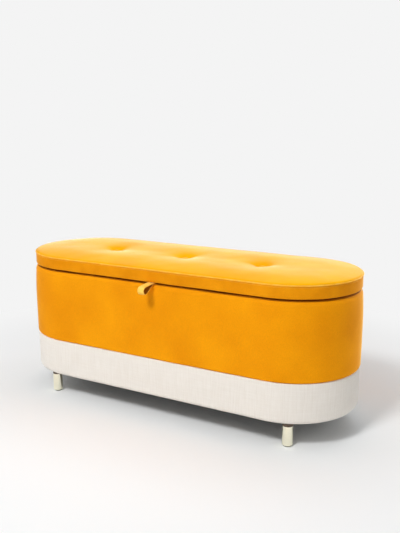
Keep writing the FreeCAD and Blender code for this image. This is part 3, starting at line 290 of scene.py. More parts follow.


# One golden velvet is used throughout, in copies that differ in sheen with the lie of the pile
# and in tone where light and shade are painted in.
velvet_cloth = velvet("cotton_velvet_golden", "ED9300", "F9A103", "FFECA0", 0.8, patch_mm=120)
# The band's darker tone is painted shade.
band_cloth = velvet("cotton_velvet_band", "E28A00", "F19A06", "FFECA0", 0.8, patch_mm=60)
# The seat has more sheen for its pile's lie; its lighter, yellower base is painted light on the
# top.
seat_cloth = velvet("cotton_velvet_seat", "F0A400", "F8B200", "FFFCD8", 1.0)
# A dark copy: painted shade for the gap under the lid and the inside of the tab's loop.
painted_shade_cloth = velvet("cotton_velvet_painted_shade", "A86004", "BC7208", "FFE0A0", 0.2)
# The tab's paler tone is a painted highlight.
tab_cloth = velvet("cotton_velvet_tab", "FFC648", "FFD468", "FFFCDC", 1.0, patch_mm=20)
# The piping's paler tone is a painted highlight.
piping_cloth = velvet("cotton_velvet_piping", "FFB428", "FFC64C", "FFFAD8", 1.0, patch_mm=20)
print("velvet ready")

# %% [markdown]
# ## Linen
#
# The plinth is covered in undyed linen: a plain weave whose yarns vary in thickness, so it
# shows short thick places called slubs. The pattern follows the cloth, so it reads the
# piece's own UV map, which is in metres. Threads are drawn 1.1 mm apart, where real ones lie
# about 0.8 mm apart, so that they show, and the slubs are a noise stretched along each
# thread. The lining is a plainer cotton weave with few slubs. The black cloth underneath is
# pressed fibre, not woven, and the same pattern, drawn faint and dark, stands for it.

# %% Make the linen and the lining cloths
wave_gap = 0.314  # a wave texture of scale 1 has its bands this far apart


def woven(name, light, dark, thread_mm, slub=1.0, relief_mm=0.25, weft=1.0):
    """A plain weave on the UV map: two sets of threads, with slubs stretched along them.

    A weft under 1 makes the slubs of the threads that run round the piece the fainter ones.
    """
    made, tree = new_material(name)
    place = node(tree, "ShaderNodeUVMap", uv_map="cloth")
    wave_scale = wave_gap / (thread_mm * mm)
    slub_scale = 1 / (4 * thread_mm * mm)
    threads, slubs = [], []
    for direction, stretch in (("X", (1.0, 0.06, 1.0)), ("Y", (0.06, 1.0, 1.0))):
        wave = node(tree, "ShaderNodeTexWave", {
            "Vector": place.outputs["UV"], "Scale": wave_scale, "Distortion": 0.6,
            "Detail": 1.0, "Detail Scale": 0.4}, wave_type="BANDS", bands_direction=direction)
        threads.append(wave)
        stretched = node(tree, "ShaderNodeMapping", {
            "Vector": place.outputs["UV"], "Scale": stretch})
        slubs.append(node(tree, "ShaderNodeTexNoise", {
            "Vector": stretched.outputs["Vector"], "Scale": slub_scale, "Detail": 3.0,
            "Roughness": 0.6}))
    weave = node(tree, "ShaderNodeMath", {
        0: threads[0].outputs["Fac"], 1: threads[1].outputs["Fac"]}, operation="MULTIPLY")
    streaks = node(tree, "ShaderNodeMath", {
        0: slubs[1].outputs["Fac"], 1: weft, 2: slubs[0].outputs["Fac"]},
        operation="MULTIPLY_ADD")
    middle = 0.5 + 0.5 * weft
    streak_tone = node(tree, "ShaderNodeMapRange", {
        "Value": streaks.outputs[0], "From Min": middle - 0.25, "From Max": middle + 0.25,
        "To Min": 0.5 - 0.5 * slub, "To Max": 0.5 + 0.5 * slub})
    thread_tone = node(tree, "ShaderNodeMapRange", {
        "Value": weave.outputs[0], "From Min": 0.0, "From Max": 0.6,
        "To Min": 0.2, "To Max": 0.8})
    tone = node(tree, "ShaderNodeMath", {
        0: streak_tone.outputs["Result"], 1: thread_tone.outputs["Result"]}, operation="ADD")
    half_tone = node(tree, "ShaderNodeMath", {0: tone.outputs[0], 1: 0.5}, operation="MULTIPLY")
    colour = node(tree, "ShaderNodeMix", {
        0: half_tone.outputs[0], COLOUR_A: hue(dark), COLOUR_B: hue(light)}, data_type="RGBA")
    relief = node(tree, "ShaderNodeBump", {
        "Height": tone.outputs[0], "Strength": 0.5, "Distance": relief_mm * mm})
    surface = node(tree, "ShaderNodeBsdfPrincipled", {
        "Base Color": colour.outputs[COLOUR_OUT], "Roughness": 0.9, "Specular IOR Level": 0.25,
        "Sheen Weight": 0.15, "Sheen Roughness": 0.5, "Sheen Tint": hue("FFFFFF"),
        "Normal": relief.outputs["Normal"]})
    node(tree, "ShaderNodeOutputMaterial", {"Surface": surface.outputs[0]})
    return made


linen_cloth = woven("linen_undyed", "FAF5EE", "E7DFD4", 1.1, slub=0.9, weft=0.5)
lining_cloth = woven("cotton_lining", "E9E2D4", "D2C8B6", 1.2, slub=0.4, relief_mm=0.15)
dust_cloth = woven("black_spunbond_dust_cloth", "2C2B2A", "1B1A1A", 1.0, slub=0.8, relief_mm=0.1)
print("woven cloths ready")

# %% [markdown]
# ## Hard finishes
#
# The metals are told apart by their colour and by how their surface was made: turned and
# polished brass on the legs, zinc-plated steel for hinges and screws, a painted tube and a
# chromed rod in the stays. Wood shows its grain where it is bare. Each finish gets a small
# change of roughness over its surface, because nothing real is evenly smooth.

# %% Make the hard finishes


def hard(name, light, dark, grain_mm, roughness, metallic=0.0, stretch=(1, 1, 1),
         relief_mm=0.02, ior=1.45):
    """A hard surface: noise stretched along its grain, in the colour, gloss and relief."""
    made, tree = new_material(name)
    place = node(tree, "ShaderNodeTexCoord")
    stretched = node(tree, "ShaderNodeMapping", {
        "Vector": place.outputs["Object"], "Scale": stretch})
    grain = node(tree, "ShaderNodeTexNoise", {
        "Vector": stretched.outputs["Vector"], "Scale": 1 / (grain_mm * mm), "Detail": 4.0,
        "Roughness": 0.6})
    colour = node(tree, "ShaderNodeMix", {
        0: grain.outputs["Fac"], COLOUR_A: hue(dark), COLOUR_B: hue(light)}, data_type="RGBA")
    gloss = node(tree, "ShaderNodeMapRange", {
        "Value": grain.outputs["Fac"], "To Min": roughness * 0.8, "To Max": roughness * 1.25})
    relief = node(tree, "ShaderNodeBump", {
        "Height": grain.outputs["Fac"], "Strength": 0.4, "Distance": relief_mm * mm})
    surface = node(tree, "ShaderNodeBsdfPrincipled", {
        "Base Color": colour.outputs[COLOUR_OUT], "Metallic": metallic, "IOR": ior,
        "Roughness": gloss.outputs["Result"], "Normal": relief.outputs["Normal"]})
    node(tree, "ShaderNodeOutputMaterial", {"Surface": surface.outputs[0]})
    return made


# Turned, polished and lacquered: bright, a pale yellow, with fine turning marks round it.
brass = hard("polished_brass", "FFFDEE", "FCF4D4", 3, 0.13, metallic=1.0, stretch=(1, 1, 6))
# Bright zinc plating is a cool grey with a faint cloudiness.
zinc = hard("zinc_plated_steel", "D9DBDE", "A9ADB3", 4, 0.3, metallic=1.0)
# The rod is ground and hard chromed, which gives a clear cool mirror.
chrome = hard("chromed_rod", "F2F3F5", "D8DADE", 8, 0.08, metallic=1.0)
# Powder coat is baked on: satin black, with a faint orange-peel skin.
black_paint = hard("black_powder_coated_tube", "1E1E20", "121214", 0.8, 0.45, relief_mm=0.05)
# Moulded nylon is a dull black with a broad soft highlight.
nylon = hard("black_nylon", "19191A", "0E0E0F", 2, 0.5, ior=1.53)
# Beech stained walnut: brown with short darker flecks along the leg.
stained_beech = hard("stained_beech", "7A6450", "40322A", 2, 0.5, stretch=(1, 1, 0.12),
                     relief_mm=0.1)
# Birch veneer is peeled off the log, so it is pale with a wide grain; here it runs along X.
plywood = hard("birch_plywood", "DDBF8F", "C19C66", 5, 0.6, stretch=(0.08, 1, 1), relief_mm=0.1)
# Sawn pine is yellower and rougher, streaked along the upright battens.
softwood = hard("pine_batten", "E2C48E", "C79B5C", 4, 0.65, stretch=(1, 1, 0.06), relief_mm=0.1)
# Hardboard is pressed wood fibre: an even brown with fine flecks and no grain.
hardboard = hard("bent_hardboard", "8A6647", "6B4B31", 1.5, 0.6, relief_mm=0.1)
# Cut foam is cream and matt; its open cells are drawn 1.5 mm wide, coarser than real.
foam = hard("upholstery_foam", "EFE6C4", "DCCF9F", 1.5, 0.95, relief_mm=0.4)
# Waxed twine is pale, with darker places where its strands turn.
twine = hard("waxed_button_twine", "EDE3CB", "BBA67C", 1.2, 0.7, stretch=(1, 1, 0.3),
             relief_mm=0.2)
# Pressed wool felt is dark and quite matt; its tufts are drawn larger than real.
felt = hard("brown_wool_felt", "4A3524", "2E2016", 0.9, 0.95, relief_mm=0.3)

leg_places = ["front_left", "front_right", "back_left", "back_right"]
finishes = {
    brass: ["ferrule_" + corner for corner in leg_places],
    stained_beech: ["leg_" + corner for corner in leg_places],
    zinc: ["hinge_box_leaves", "hinge_lid_leaves", "hinge_pins", "hinge_box_screws",
           "hinge_lid_screws", "strut_feet", "strut_heads", "strut_foot_screws",
           "strut_head_screws", "leg_bolts", "tee_nuts", "tie_washers",
           "strut_eye_low_left", "strut_eye_low_right",
           "strut_eye_high_left", "strut_eye_high_right"],
    chrome: ["strut_rod_left", "strut_rod_right"],
    black_paint: ["strut_tube_left", "strut_tube_right"],
    nylon: ["strut_gland_left", "strut_gland_right", "strut_piston_left",
            "strut_piston_right", "glides"],
    plywood: ["base_panel", "top_ring", "lid_board"],
    softwood: ["wall_studs"],
    hardboard: ["wall_skin"],
    foam: ["wall_foam", "plinth_wadding"],
    twine: ["button_ties"],
    felt: ["bumpers"],
}
for finish, names in finishes.items():
    for name in names:
        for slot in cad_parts[name].material_slots:
            slot.material = finish
print("finished", sum(len(names) for names in finishes.values()), "rigid nodes")

# %% [markdown]
# ## Sewing a cover round the box
#
# A cover is one cross-section carried round the outline. Making it in code, and not as a bent
# box, gives even quads, and a UV map in metres for the weave comes with it: U is the way
# round and V the way up the section. A section is written as its corners, each with the
# radius it is rounded to, and a small function turns corners into arcs.

# %% Helpers: the outline, and a rounded section


def stations(spacing=6 * mm):
    """Places round the outline, as (x on the spine, direction), from the middle of the back."""
    half_side = round(span / spacing)
    end = round(math.pi * body_radius / spacing)
    quarter = math.pi / 2
    round_end = [math.pi * k / end for k in range(end)]
    half = [span * k / half_side for k in range(half_side)]
    return (
        [(-x, quarter) for x in half]
        + [(-span, quarter + turn) for turn in round_end]
        + [(x - span, 3 * quarter) for x in half] + [(x, 3 * quarter) for x in half]
        + [(span, 3 * quarter + turn) for turn in round_end]
        + [(span - x, 5 * quarter) for x in half]
    )


def way_round(radius):
    """The length of the outline at a radius."""
    return 4 * span + 2 * math.pi * radius


def out_from(spine, direction, radius, height):
    """The point at a radius from a place on the spine."""
    return Vector((spine + radius * math.cos(direction), radius * math.sin(direction), height))


def rounded(corners, fill=8 * mm):
    """Corners of (radius, height, round) as points: arcs at the corners, long sides filled in."""
    step = 1.5 * mm
    points = []
    count = len(corners)
    for k in range(count):
        before, here, after = (Vector(corners[(k + shift) % count][:2]) for shift in (-1, 0, 1))
        size = corners[k][2]
        to_before, to_after = (before - here).normalized(), (after - here).normalized()
        half_angle = to_before.angle(to_after) / 2
        if size == 0:
            points.append(here)
            continue
        cut = size / math.tan(half_angle)
        middle = here + (to_before + to_after).normalized() * size / math.sin(half_angle)
        first, last = here + to_before * cut - middle, here + to_after * cut - middle
        steps = max(3, round(first.angle(last) * size / step))
        turn = first.angle_signed(last)
        for j in range(steps + 1):
            a = -turn * j / steps
            points.append(middle + Vector((first.x * math.cos(a) - first.y * math.sin(a),
                                           first.x * math.sin(a) + first.y * math.cos(a))))
    filled = []
    for k, point in enumerate(points):
        following = points[(k + 1) % len(points)]
        pieces = max(1, round((following - point).length / fill))
        filled += [point.lerp(following, j / pieces) for j in range(pieces)]
    return filled


print("outline", len(stations()), "places,", round(way_round(body_radius), 3), "m round")

# %% Helpers: a new piece, its faces, and a loft


def new_piece(name, verts, faces, edges=()):
    """A mesh object at the origin."""
    mesh = bpy.data.meshes.new(name)
    mesh.from_pydata(verts, edges, faces)
    mesh.update()
    piece = bpy.data.objects.new(name, mesh)
    bpy.context.scene.collection.objects.link(piece)
    return piece


@contextmanager
def reworked(piece, start=None):
    """Opens a piece's mesh, or another to start from, and writes the changed one back."""
    bm = bmesh.new()
    bm.from_mesh(start or piece.data)
    yield bm
    bm.to_mesh(piece.data)
    bm.free()


def ring_of(radius, height, sides):
    """The corners of a regular polygon, level round the origin's upright axis."""
    turns = [2 * math.pi * side / sides for side in range(sides)]
    return [(radius * math.cos(turn), radius * math.sin(turn), height) for turn in turns]


def tube_faces(rings, sides):
    """The faces of a tube made of rings of vertices, closed at its first and last ring."""
    faces = []
    for ring in range(rings - 1):
        low, high = ring * sides, (ring + 1) * sides
        for i in range(sides):
            j = (i + 1) % sides
            faces.append((low + i, low + j, high + j, high + i))
    faces.append(tuple(reversed(range(sides))))
    faces.append(tuple((rings - 1) * sides + i for i in range(sides)))
    return faces


def loft(name, section):
    """A closed section, going up on its outside, carried round the outline."""
    ring = stations()
    rows, columns = len(section), len(ring)
    verts = [out_from(x, turn, r, z) for x, turn in ring for r, z in section]
    faces = []
    for i in range(columns):
        for j in range(rows):
            following, above = (i + 1) % columns, (j + 1) % rows
            faces.append((i * rows + j, following * rows + j,
                          following * rows + above, i * rows + above))
    piece = new_piece(name, verts, faces)
    up = [0.0]
    for j in range(rows):
        up.append(up[-1] + (section[(j + 1) % rows] - section[j]).length)
    around = way_round(body_radius) / columns
    cloth_map = piece.data.uv_layers.new(name="cloth")
    for number in range(len(faces)):
        i, j = divmod(number, rows)
        for corner, (across, along) in enumerate(((0, 0), (1, 0), (1, 1), (0, 1))):
            cloth_map.data[4 * number + corner].uv = ((i + across) * around, up[j + along])
    return piece


# %% Helpers: cloth that never lies true, painted shade, and the finish of a piece


def rumple(piece, amount, size, seed):
    """Moves each vertex along its normal by a soft noise, as cloth never lies quite true."""
    mesh = piece.data
    shift = Vector((seed, 2 * seed, 3 * seed))
    moved = []
    for vertex in mesh.vertices:
        moved.append(vertex.co + vertex.normal * amount * noise.noise(vertex.co / size + shift))
    for vertex, point in zip(mesh.vertices, moved):
        vertex.co = point
    mesh.update()


flat_lying = 0.75  # a normal with this much of up or down belongs to a face that lies flat


def paint_shade(piece, shaded):
    """Gives the faces whose middle and normal pass a test the dark copy: painted shade."""
    piece.data.materials.append(painted_shade_cloth)
    for face in piece.data.polygons:
        if shaded(face.center, face.normal):
            face.material_index = 1


def dress(piece, body, slot, material, *nodes):
    """Gives a piece its material and body, hides the solids it stands for; velvet takes the lamp
    behind.
    """
    piece.data.materials.clear()
    piece.data.materials.append(material)
    piece.data.shade_smooth()
    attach(piece, body)
    if nodes:
        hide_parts(*nodes)
    if slot.startswith("velvet"):
        grazed.objects.link(piece)
    print(piece.name, len(piece.data.polygons), "faces")
    return piece


# %% [markdown]
# ## The velvet wall
#
# The wall is a sleeve of velvet pulled over foam, made here as one pad. Its lower edge rolls
# into the seam with the plinth, it turns over a soft shoulder at the rim and goes three
# centimetres down inside. Where the lid rests on it the velvet is given a dark copy, a painted
# shade for the gap under the lid. The section bows out by almost a millimetre above the seam
# and leans in towards the shoulder, because foam pushes and both the seam and the rim pull.

# %% Make the velvet wall
seam_up = box_low.z
rim_up = box_high.z
drop_up = wall_lining_high.z
off_core = 0.3 * mm  # a pad keeps this far from the board inside it
wall_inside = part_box("wall_skin")[1].y + off_core
seam_roll = 7 * mm
seam_lift = 0.2 * mm
shoulder = 16 * mm
mouth_round = 6 * mm
wall_section = rounded([
    (wall_inside, seam_up, 0),
    (body_radius, seam_up + seam_lift, seam_roll),
    (body_radius, rim_up, shoulder),
    (mouth_radius, rim_up, mouth_round),
    (mouth_radius, drop_up, 0),
    (mouth_radius + cloth, drop_up, 0),
    (mouth_radius + cloth, rim_up - cloth, mouth_round - cloth),
    (wall_inside, rim_up - cloth, mouth_round - cloth),
])
wall_height = rim_up - seam_up
wall_bow = 0.8 * mm
wall_lean = 3.2 * mm
lean_power = 1.6  # the lean starts softly at half height
for point in wall_section:
    if point.x < wall_inside + hairline and point.y < rim_up - 2 * cloth:
        continue
    share = max(0.0, min(1.0, (point.y - seam_up) / wall_height))
    outside = max(0.0, 1 - (body_radius - point.x) / shoulder)
    bow = wall_bow * math.sin(math.pi * share)
    lean = wall_lean * max(0.0, 2 * share - 1) ** lean_power
    point.x += outside * (bow - lean)
box_velvet = loft("box_velvet", wall_section)
rumple(box_velvet, 0.8 * mm, 90 * mm, seed=3.1)
rumple(box_velvet, 0.25 * mm, 20 * mm, seed=7.7)
dress(box_velvet, "box", "velvet", velvet_cloth, "box_cover", "wall_foam")
# The rim's top, where the lid rests, is given the dark copy: painted shade in the gap.
paint_shade(box_velvet, lambda middle, out: out.z > flat_lying and middle.z > rim_up - 2 * cloth)

# %% [markdown]
# ## The linen plinth
#
# The plinth is the same sleeve in linen over thin wadding, set back a few millimetres, and
# its lower edge rolls a long way under the base, where it is stapled down.

# %% Make the linen plinth
foot_up = plinth_low.z
wrap_radius = plinth_radius - 54 * mm
plinth_inside = plinth_radius - cloth
foot_roll = 14 * mm
seam_fold = 3 * mm
plinth_section = rounded([
    (wrap_radius, foot_up, 0),
    (plinth_radius, foot_up, foot_roll),
    (plinth_radius, seam_up, seam_fold),
    (plinth_radius - seam_fold, seam_up, 0),
    (plinth_radius - seam_fold, seam_up - cloth, 0),
    (plinth_inside, seam_up - 2 * cloth, 0),
    (plinth_inside, foot_up + cloth, foot_roll - cloth),
    (wrap_radius, foot_up + cloth, 0),
])
plinth_linen = loft("plinth_linen", plinth_section)
rumple(plinth_linen, 0.5 * mm, 70 * mm, seed=1.3)
rumple(plinth_linen, 0.2 * mm, 15 * mm, seed=5.2)
dress(plinth_linen, "box", "linen", linen_cloth, "plinth_cover")

# %% [markdown]
# ## The lid's side
#
# A narrow velvet band goes round the lid and turns under it. It is glued over thin foam on
# the board's edge, so it is flat but not sharp.

# %% Make the lid's side
band_turn_in = 32 * mm
band_round = 3.5 * mm
band_crest = 0.8 * mm
band_section = rounded([
    (lid_radius - band_turn_in, band_low.z, 0),
    (lid_radius, band_low.z, band_round),
    (lid_radius, band_high.z, band_crest),
    (lid_radius - cloth, band_high.z, 0),
    (lid_radius - cloth, band_low.z + cloth, band_round - cloth),
    (lid_radius - band_turn_in, band_low.z + cloth, 0),
], fill=5 * mm)
lid_side = loft("lid_side", band_section)
rumple(lid_side, 0.5 * mm, 60 * mm, seed=2.2)
# The band is given the darker copy: painted shade.
dress(lid_side, "lid", "velvet", band_cloth, "lid_band")
# The strip turned under the lid is given the dark copy: painted shade.
paint_shade(lid_side, lambda middle, out: out.z < -flat_lying)

# %% [markdown]
# ## The piping
#
# Piping is a strip of velvet sewn round a string, caught in the seam between band and top. It
# is a thin round welt, given a paler copy of the velvet, a painted highlight, so it reads as one
# pale line.

# %% Make the piping
piping_up = (piping_low.z + piping_high.z) / 2
piping_radius = (piping_high.z - piping_low.z) / 2
piping_sides = 14
piping_section = [
    Vector((lid_radius + piping_radius * math.cos(a), piping_up + piping_radius * math.sin(a)))
    for a in (2 * math.pi * k / piping_sides for k in range(piping_sides))
]
lid_piping = loft("lid_piping_velvet", piping_section)
rumple(lid_piping, 0.25 * mm, 12 * mm, seed=4.4)
# The piping is given the paler copy: a painted highlight.
dress(lid_piping, "lid", "velvet_piping", piping_cloth, "lid_piping")

# %% [markdown]
# ## The tufted seat
#
# The seat is velvet over a foam pad that fills the lid down to its board. From the piping it
# rolls up and over like a quarter of an ellipse, and three buttons pull it down: each sits
# in a steep small pit with folds running out, and the line of buttons makes a shallow valley
# along the seat. The pad starts as a net of even quads, straight columns over the long side
# and, at each round end, a square of the net bent into a half disc. A cloth simulation then
# blows it up a little against its fixed edge and buttons, as stuffing does.

# %% Lay out the seat's net
net_step = 4.5 * mm
side_roll, end_roll = 52 * mm, 26 * mm
seat_low = piping_high.z
seat_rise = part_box("lid_cover")[1].z - seat_low
roll_height = 0.8 * seat_rise
seat_crown = seat_rise - roll_height
pad_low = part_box("lid_board")[1].z + off_core
edge_inset = 4.5 * mm
seat_edge = lid_radius - edge_inset
buttons = ["button_left", "button_middle", "button_right"]
tuft_shift = Vector((-6, 0, 0)) * mm
tuft_places = [(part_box(name)[0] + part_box(name)[1]) / 2 + tuft_shift for name in buttons]
button_radius = 12 * mm
under_button = 1 * mm  # a pit starts this far inside its button's edge
pit_reach = 46 * mm
pit_depth = 11.5 * mm
pit_power = 2.6  # the higher, the steeper a pit is at its button
valley_depth = 2.4 * mm
valley_reach = 85 * mm
valley_power = 1.4
valley_end = tuft_places[2].x + 60 * mm
valley_fade = 90 * mm
# Folds and pleats lie round a button at these shares of the pit's reach.
fold_depth, fold_place, fold_width = 2.2 * mm, 0.35, 0.45
fold_balance = 0.62  # the share of a fold's depth by which the cloth between folds stands up
pleat_depth, pleat_place, pleat_width = 0.9 * mm, 0.12, 0.12
pleat_count = 7


def ease(share):
    """A smooth step from 0 to 1."""
    share = max(0.0, min(1.0, share))
    return share * share * (3 - 2 * share)


def roll_width(x):
    """How far in the pad's edge rolls: less round the ends than along the sides."""
    change_from, change_over = 0.85 * span, 0.5 * span
    return side_roll + (end_roll - side_roll) * ease((abs(x) - change_from) / change_over)


def tuft_drop(x, y):
    """How far the buttons pull the cloth down: a valley, a pit at each, folds and pleats."""
    across = max(0.0, 1 - abs(y) / valley_reach)
    drop = valley_depth * ease((valley_end - abs(x)) / valley_fade) * across ** valley_power
    for number, place in enumerate(tuft_places):
        away = math.hypot(x - place.x, y - place.y)
        share = max(0.0, (away - button_radius + under_button) / pit_reach)
        if share >= 2:  # past this, nothing of the folds is left to see
            continue
        turn = math.atan2(y - place.y, x - place.x)
        drop += pit_depth * max(0.0, 1 - share) ** pit_power
        folding = math.exp(-((share - fold_place) / fold_width) ** 2)
        fold_turn = 0.5 + 1.3 * number  # the folds of each button lie turned otherwise
        folds = abs(math.sin(2 * turn + fold_turn)) ** 0.5
        drop += fold_depth * folding * (fold_balance - folds)
        pleating = math.exp(-((share - pleat_place) / pleat_width) ** 2)
        drop += pleat_depth * pleating * math.sin(pleat_count * turn)
    return drop


def seat_height(x, y):
    """The rolled and crowned seat, less what the buttons pull down."""
    away = math.hypot(max(0.0, abs(x) - span), y)
    inwards = min(1.0, (lid_radius - away) / roll_width(x))
    rolled = roll_height * math.sqrt(1 - (1 - inwards) ** 2)
    crowned = seat_crown * (1 - (away / lid_radius) ** 2)
    return seat_low + rolled + crowned - tuft_drop(x, y)


half_rows = round(seat_edge / net_step)
end_columns = half_rows  # a half disc is as long as half its width
side_columns = round(2 * span / net_step)
net = []
for column in range(-end_columns, side_columns + end_columns + 1):
    on_side = max(0, min(side_columns, column))
    lean = (column - on_side) / end_columns
    for row in range(-half_rows, half_rows + 1):
        rise = row / half_rows
        x = (2 * on_side / side_columns - 1) * span
        x += seat_edge * lean * math.sqrt(1 - rise * rise / 2)
        y = seat_edge * rise * math.sqrt(1 - lean * lean / 2)
        net.append(Vector((x, y, seat_height(x, y))))
columns, rows = side_columns + 2 * end_columns + 1, 2 * half_rows + 1
print("seat net", columns, "by", rows)

# %% Turn the net down over the edge and close it
faces = [(c * rows + r, (c + 1) * rows + r, (c + 1) * rows + r + 1, c * rows + r + 1)
         for c in range(columns - 1) for r in range(rows - 1)]
border = (
    [c * rows for c in range(columns)]
    + [(columns - 1) * rows + r for r in range(1, rows)]
    + [c * rows + rows - 1 for c in range(columns - 2, -1, -1)]
    + [r for r in range(rows - 2, 0, -1)]
)
verts = list(net)
above = border
edge_steps = 5
tuck_radius = lid_radius - cloth - 0.4 * mm
tucked = [(tuck_radius, seat_low - 0.5 * mm), (tuck_radius, pad_low)]
for k in range(1, edge_steps + 1 + len(tucked)):
    below = []
    for index in border:
        spine = Vector((max(-span, min(span, net[index].x)), 0, 0))
        out = (Vector((net[index].x, net[index].y, 0)) - spine).normalized()
        width = roll_width(net[index].x)
        rise = math.acos(1 - edge_inset / width) * (1 - k / edge_steps)
        radius = lid_radius - width * (1 - math.cos(rise))
        height = seat_low + roll_height * math.sin(rise)
        if k > edge_steps:
            radius, height = tucked[k - edge_steps - 1]
        below.append(len(verts))
        verts.append(spine + out * radius + Vector((0, 0, height)))
    for i in range(len(border)):
        j = (i + 1) % len(border)
        faces.append((below[i], below[j], above[j], above[i]))
    above = below
lid_cushion = new_piece("lid_cushion", verts, faces)
print("seat mesh", len(verts), "vertices")

# %% Let the pad fill out, by a short cloth simulation
settle_frames = 20


def fill_out(piece, held, cap, pressure):
    """Blows a piece up against the vertices that are held, and limits how far any moves."""
    start = [vertex.co.copy() for vertex in piece.data.vertices]
    group = piece.vertex_groups.new(name="held")
    for index, vertex in enumerate(piece.data.vertices):
        group.add([index], held(vertex.co), "REPLACE")
    modifier = piece.modifiers.new("cloth", "CLOTH")
    settings = modifier.settings
    settings.vertex_group_mass = "held"
    settings.use_pressure = True
    settings.uniform_pressure_force = pressure
    settings.tension_stiffness = 15
    settings.compression_stiffness = 15
    settings.bending_stiffness = 2
    settings.effector_weights.gravity = 0
    settings.quality = 5
    modifier.collision_settings.use_collision = False
    scene = bpy.context.scene
    for step in range(1, settle_frames + 1):
        scene.frame_set(step)
    evaluated = piece.evaluated_get(bpy.context.evaluated_depsgraph_get())
    grown = [vertex.co.copy() for vertex in evaluated.data.vertices]
    piece.modifiers.remove(modifier)
    piece.vertex_groups.clear()
    scene.frame_set(1)
    furthest = 0.0
    for vertex, before, after in zip(piece.data.vertices, start, grown):
        move = after - before
        furthest = max(furthest, move.length)
        if move.length > cap:
            move *= cap / move.length
        vertex.co = before + move
    piece.data.update()
    print(piece.name, "filled out; furthest move", round(furthest / mm, 2), "mm")


def seat_hold(point):
    """The sewn edge and the buttons hold fast; nothing else does."""
    seam_grip = 1 * mm
    spine = max(-span, min(span, point.x))
    if math.hypot(point.x - spine, point.y) > seat_edge - seam_grip:
        return 1.0
    nearest = min(math.hypot(point.x - p.x, point.y - p.y) for p in tuft_places)
    return 1.0 if nearest < button_radius else 0.0


fill_out(lid_cushion, seat_hold, cap=5 * mm, pressure=4.0)
rumple(lid_cushion, 0.5 * mm, 50 * mm, seed=6.1)


def refine_and_close(piece):
    """Subdivides the net once, then closes its underside with one flat face."""
    finer = piece.modifiers.new("finer", "SUBSURF")
    finer.levels = 1
    finer.render_levels = 1
    graph = bpy.context.evaluated_depsgraph_get()
    refined = bpy.data.meshes.new_from_object(piece.evaluated_get(graph))
    piece.modifiers.remove(finer)
    with reworked(piece, refined) as bm:
        bmesh.ops.holes_fill(bm, edges=[edge for edge in bm.edges if edge.is_boundary])


refine_and_close(lid_cushion)
dress(lid_cushion, "lid", "velvet", seat_cloth, "lid_cover", "lid_foam")

# %% [markdown]
# ## The covered buttons
#
# Each button is a metal dome with velvet gathered over it. A revolved dome with a few shallow
# pleats towards its edge gives that; the edge tucks into the seat.

# %% Make the buttons
button_sink = 0.5 * mm


def covered_button(name, place, top):
    """A low dome with pleats at its edge, closed underneath."""
    rings, sides, pleats = 7, 36, 9
    height, pleat_share = 5 * mm, 0.035
    verts, faces = [Vector((place.x, place.y, top))], []
    for ring in range(1, rings + 1):
        share = ring / rings
        for side in range(sides):
            turn = 2 * math.pi * side / sides
            pleat = 1 + pleat_share * share ** 2 * math.cos(pleats * turn)
            radius = button_radius * math.sin(share * math.pi / 2) * pleat
            fall = height * (1 - math.cos(share * math.pi / 2))
            verts.append(Vector((place.x + radius * math.cos(turn),
                                 place.y + radius * math.sin(turn), top - fall)))
    for side in range(sides):
        following = (side + 1) % sides
        faces.append((0, 1 + side, 1 + following))
        for ring in range(rings - 1):
            inner, outer = 1 + ring * sides, 1 + (ring + 1) * sides
            faces.append((inner + side, outer + side, outer + following, inner + following))
    faces.append(tuple(1 + (rings - 1) * sides + side for side in reversed(range(sides))))
    return new_piece(name, verts, faces)


for name, place in zip(buttons, tuft_places):
    button = covered_button(name + "_velvet", place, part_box(name)[1].z - button_sink)
    dress(button, "lid", "velvet", seat_cloth, name)

# %% [markdown]
# ## The pull tab
#
# The tab is one strap of velvet folded into a loop: both tails are fixed under the lid and a
# round nose hangs out in front. Its path is two tangents and an arc in the plane of the
# strap, worked out from the solid's own box, with a flat oval section carried along it.

# %% Make the pull tab
tab_low, tab_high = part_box("pull_tab")
tab_ply = 2.2 * mm
tab_nose = 11.5 * mm
nose_radius = tab_nose - tab_ply / 2
nose = Vector((tab_low.y + tab_nose, tab_low.z + tab_nose))
tab_shift = -4 * mm
tab_width = tab_high.x - tab_low.x
tab_root = -(body_radius - 1 * mm)
tab_tail = tab_high.y
leg_steps, nose_steps = 6, 28


def tangent_point(start, centre, radius, side):
    """Where a line from start touches a circle."""
    gap = centre - start
    swing = math.asin(radius / gap.length)
    heading = math.atan2(gap.y, gap.x) + side * swing
    return start + Vector((math.cos(heading), math.sin(heading))) * radius / math.tan(swing)


def between(start, end):
    """The points that part a straight leg of the strap into steps, without its ends."""
    return [start.lerp(end, k / leg_steps) for k in range(1, leg_steps)]


ply_pitch = 1.02 * tab_ply  # the two plies lie a hair apart
root_high = Vector((tab_root, tab_high.z - tab_ply / 2))
root_low = root_high - Vector((0, ply_pitch))
tail_high, tail_low = (Vector((tab_tail, root.y)) for root in (root_high, root_low))
touch_high = tangent_point(root_high, nose, nose_radius, -1)
touch_low = tangent_point(root_low, nose, nose_radius, 1)
turn_start = math.atan2(touch_high.y - nose.y, touch_high.x - nose.x)
turn_stop = math.atan2(touch_low.y - nose.y, touch_low.x - nose.x) + 2 * math.pi
turns = [turn_start + (turn_stop - turn_start) * k / nose_steps for k in range(nose_steps + 1)]
strap_path = [tail_high, *between(tail_high, root_high), root_high,
              *between(root_high, touch_high)]
strap_path += [nose + nose_radius * Vector((math.cos(a), math.sin(a))) for a in turns]
strap_path += [*between(touch_low, root_low), root_low, *between(root_low, tail_low), tail_low]


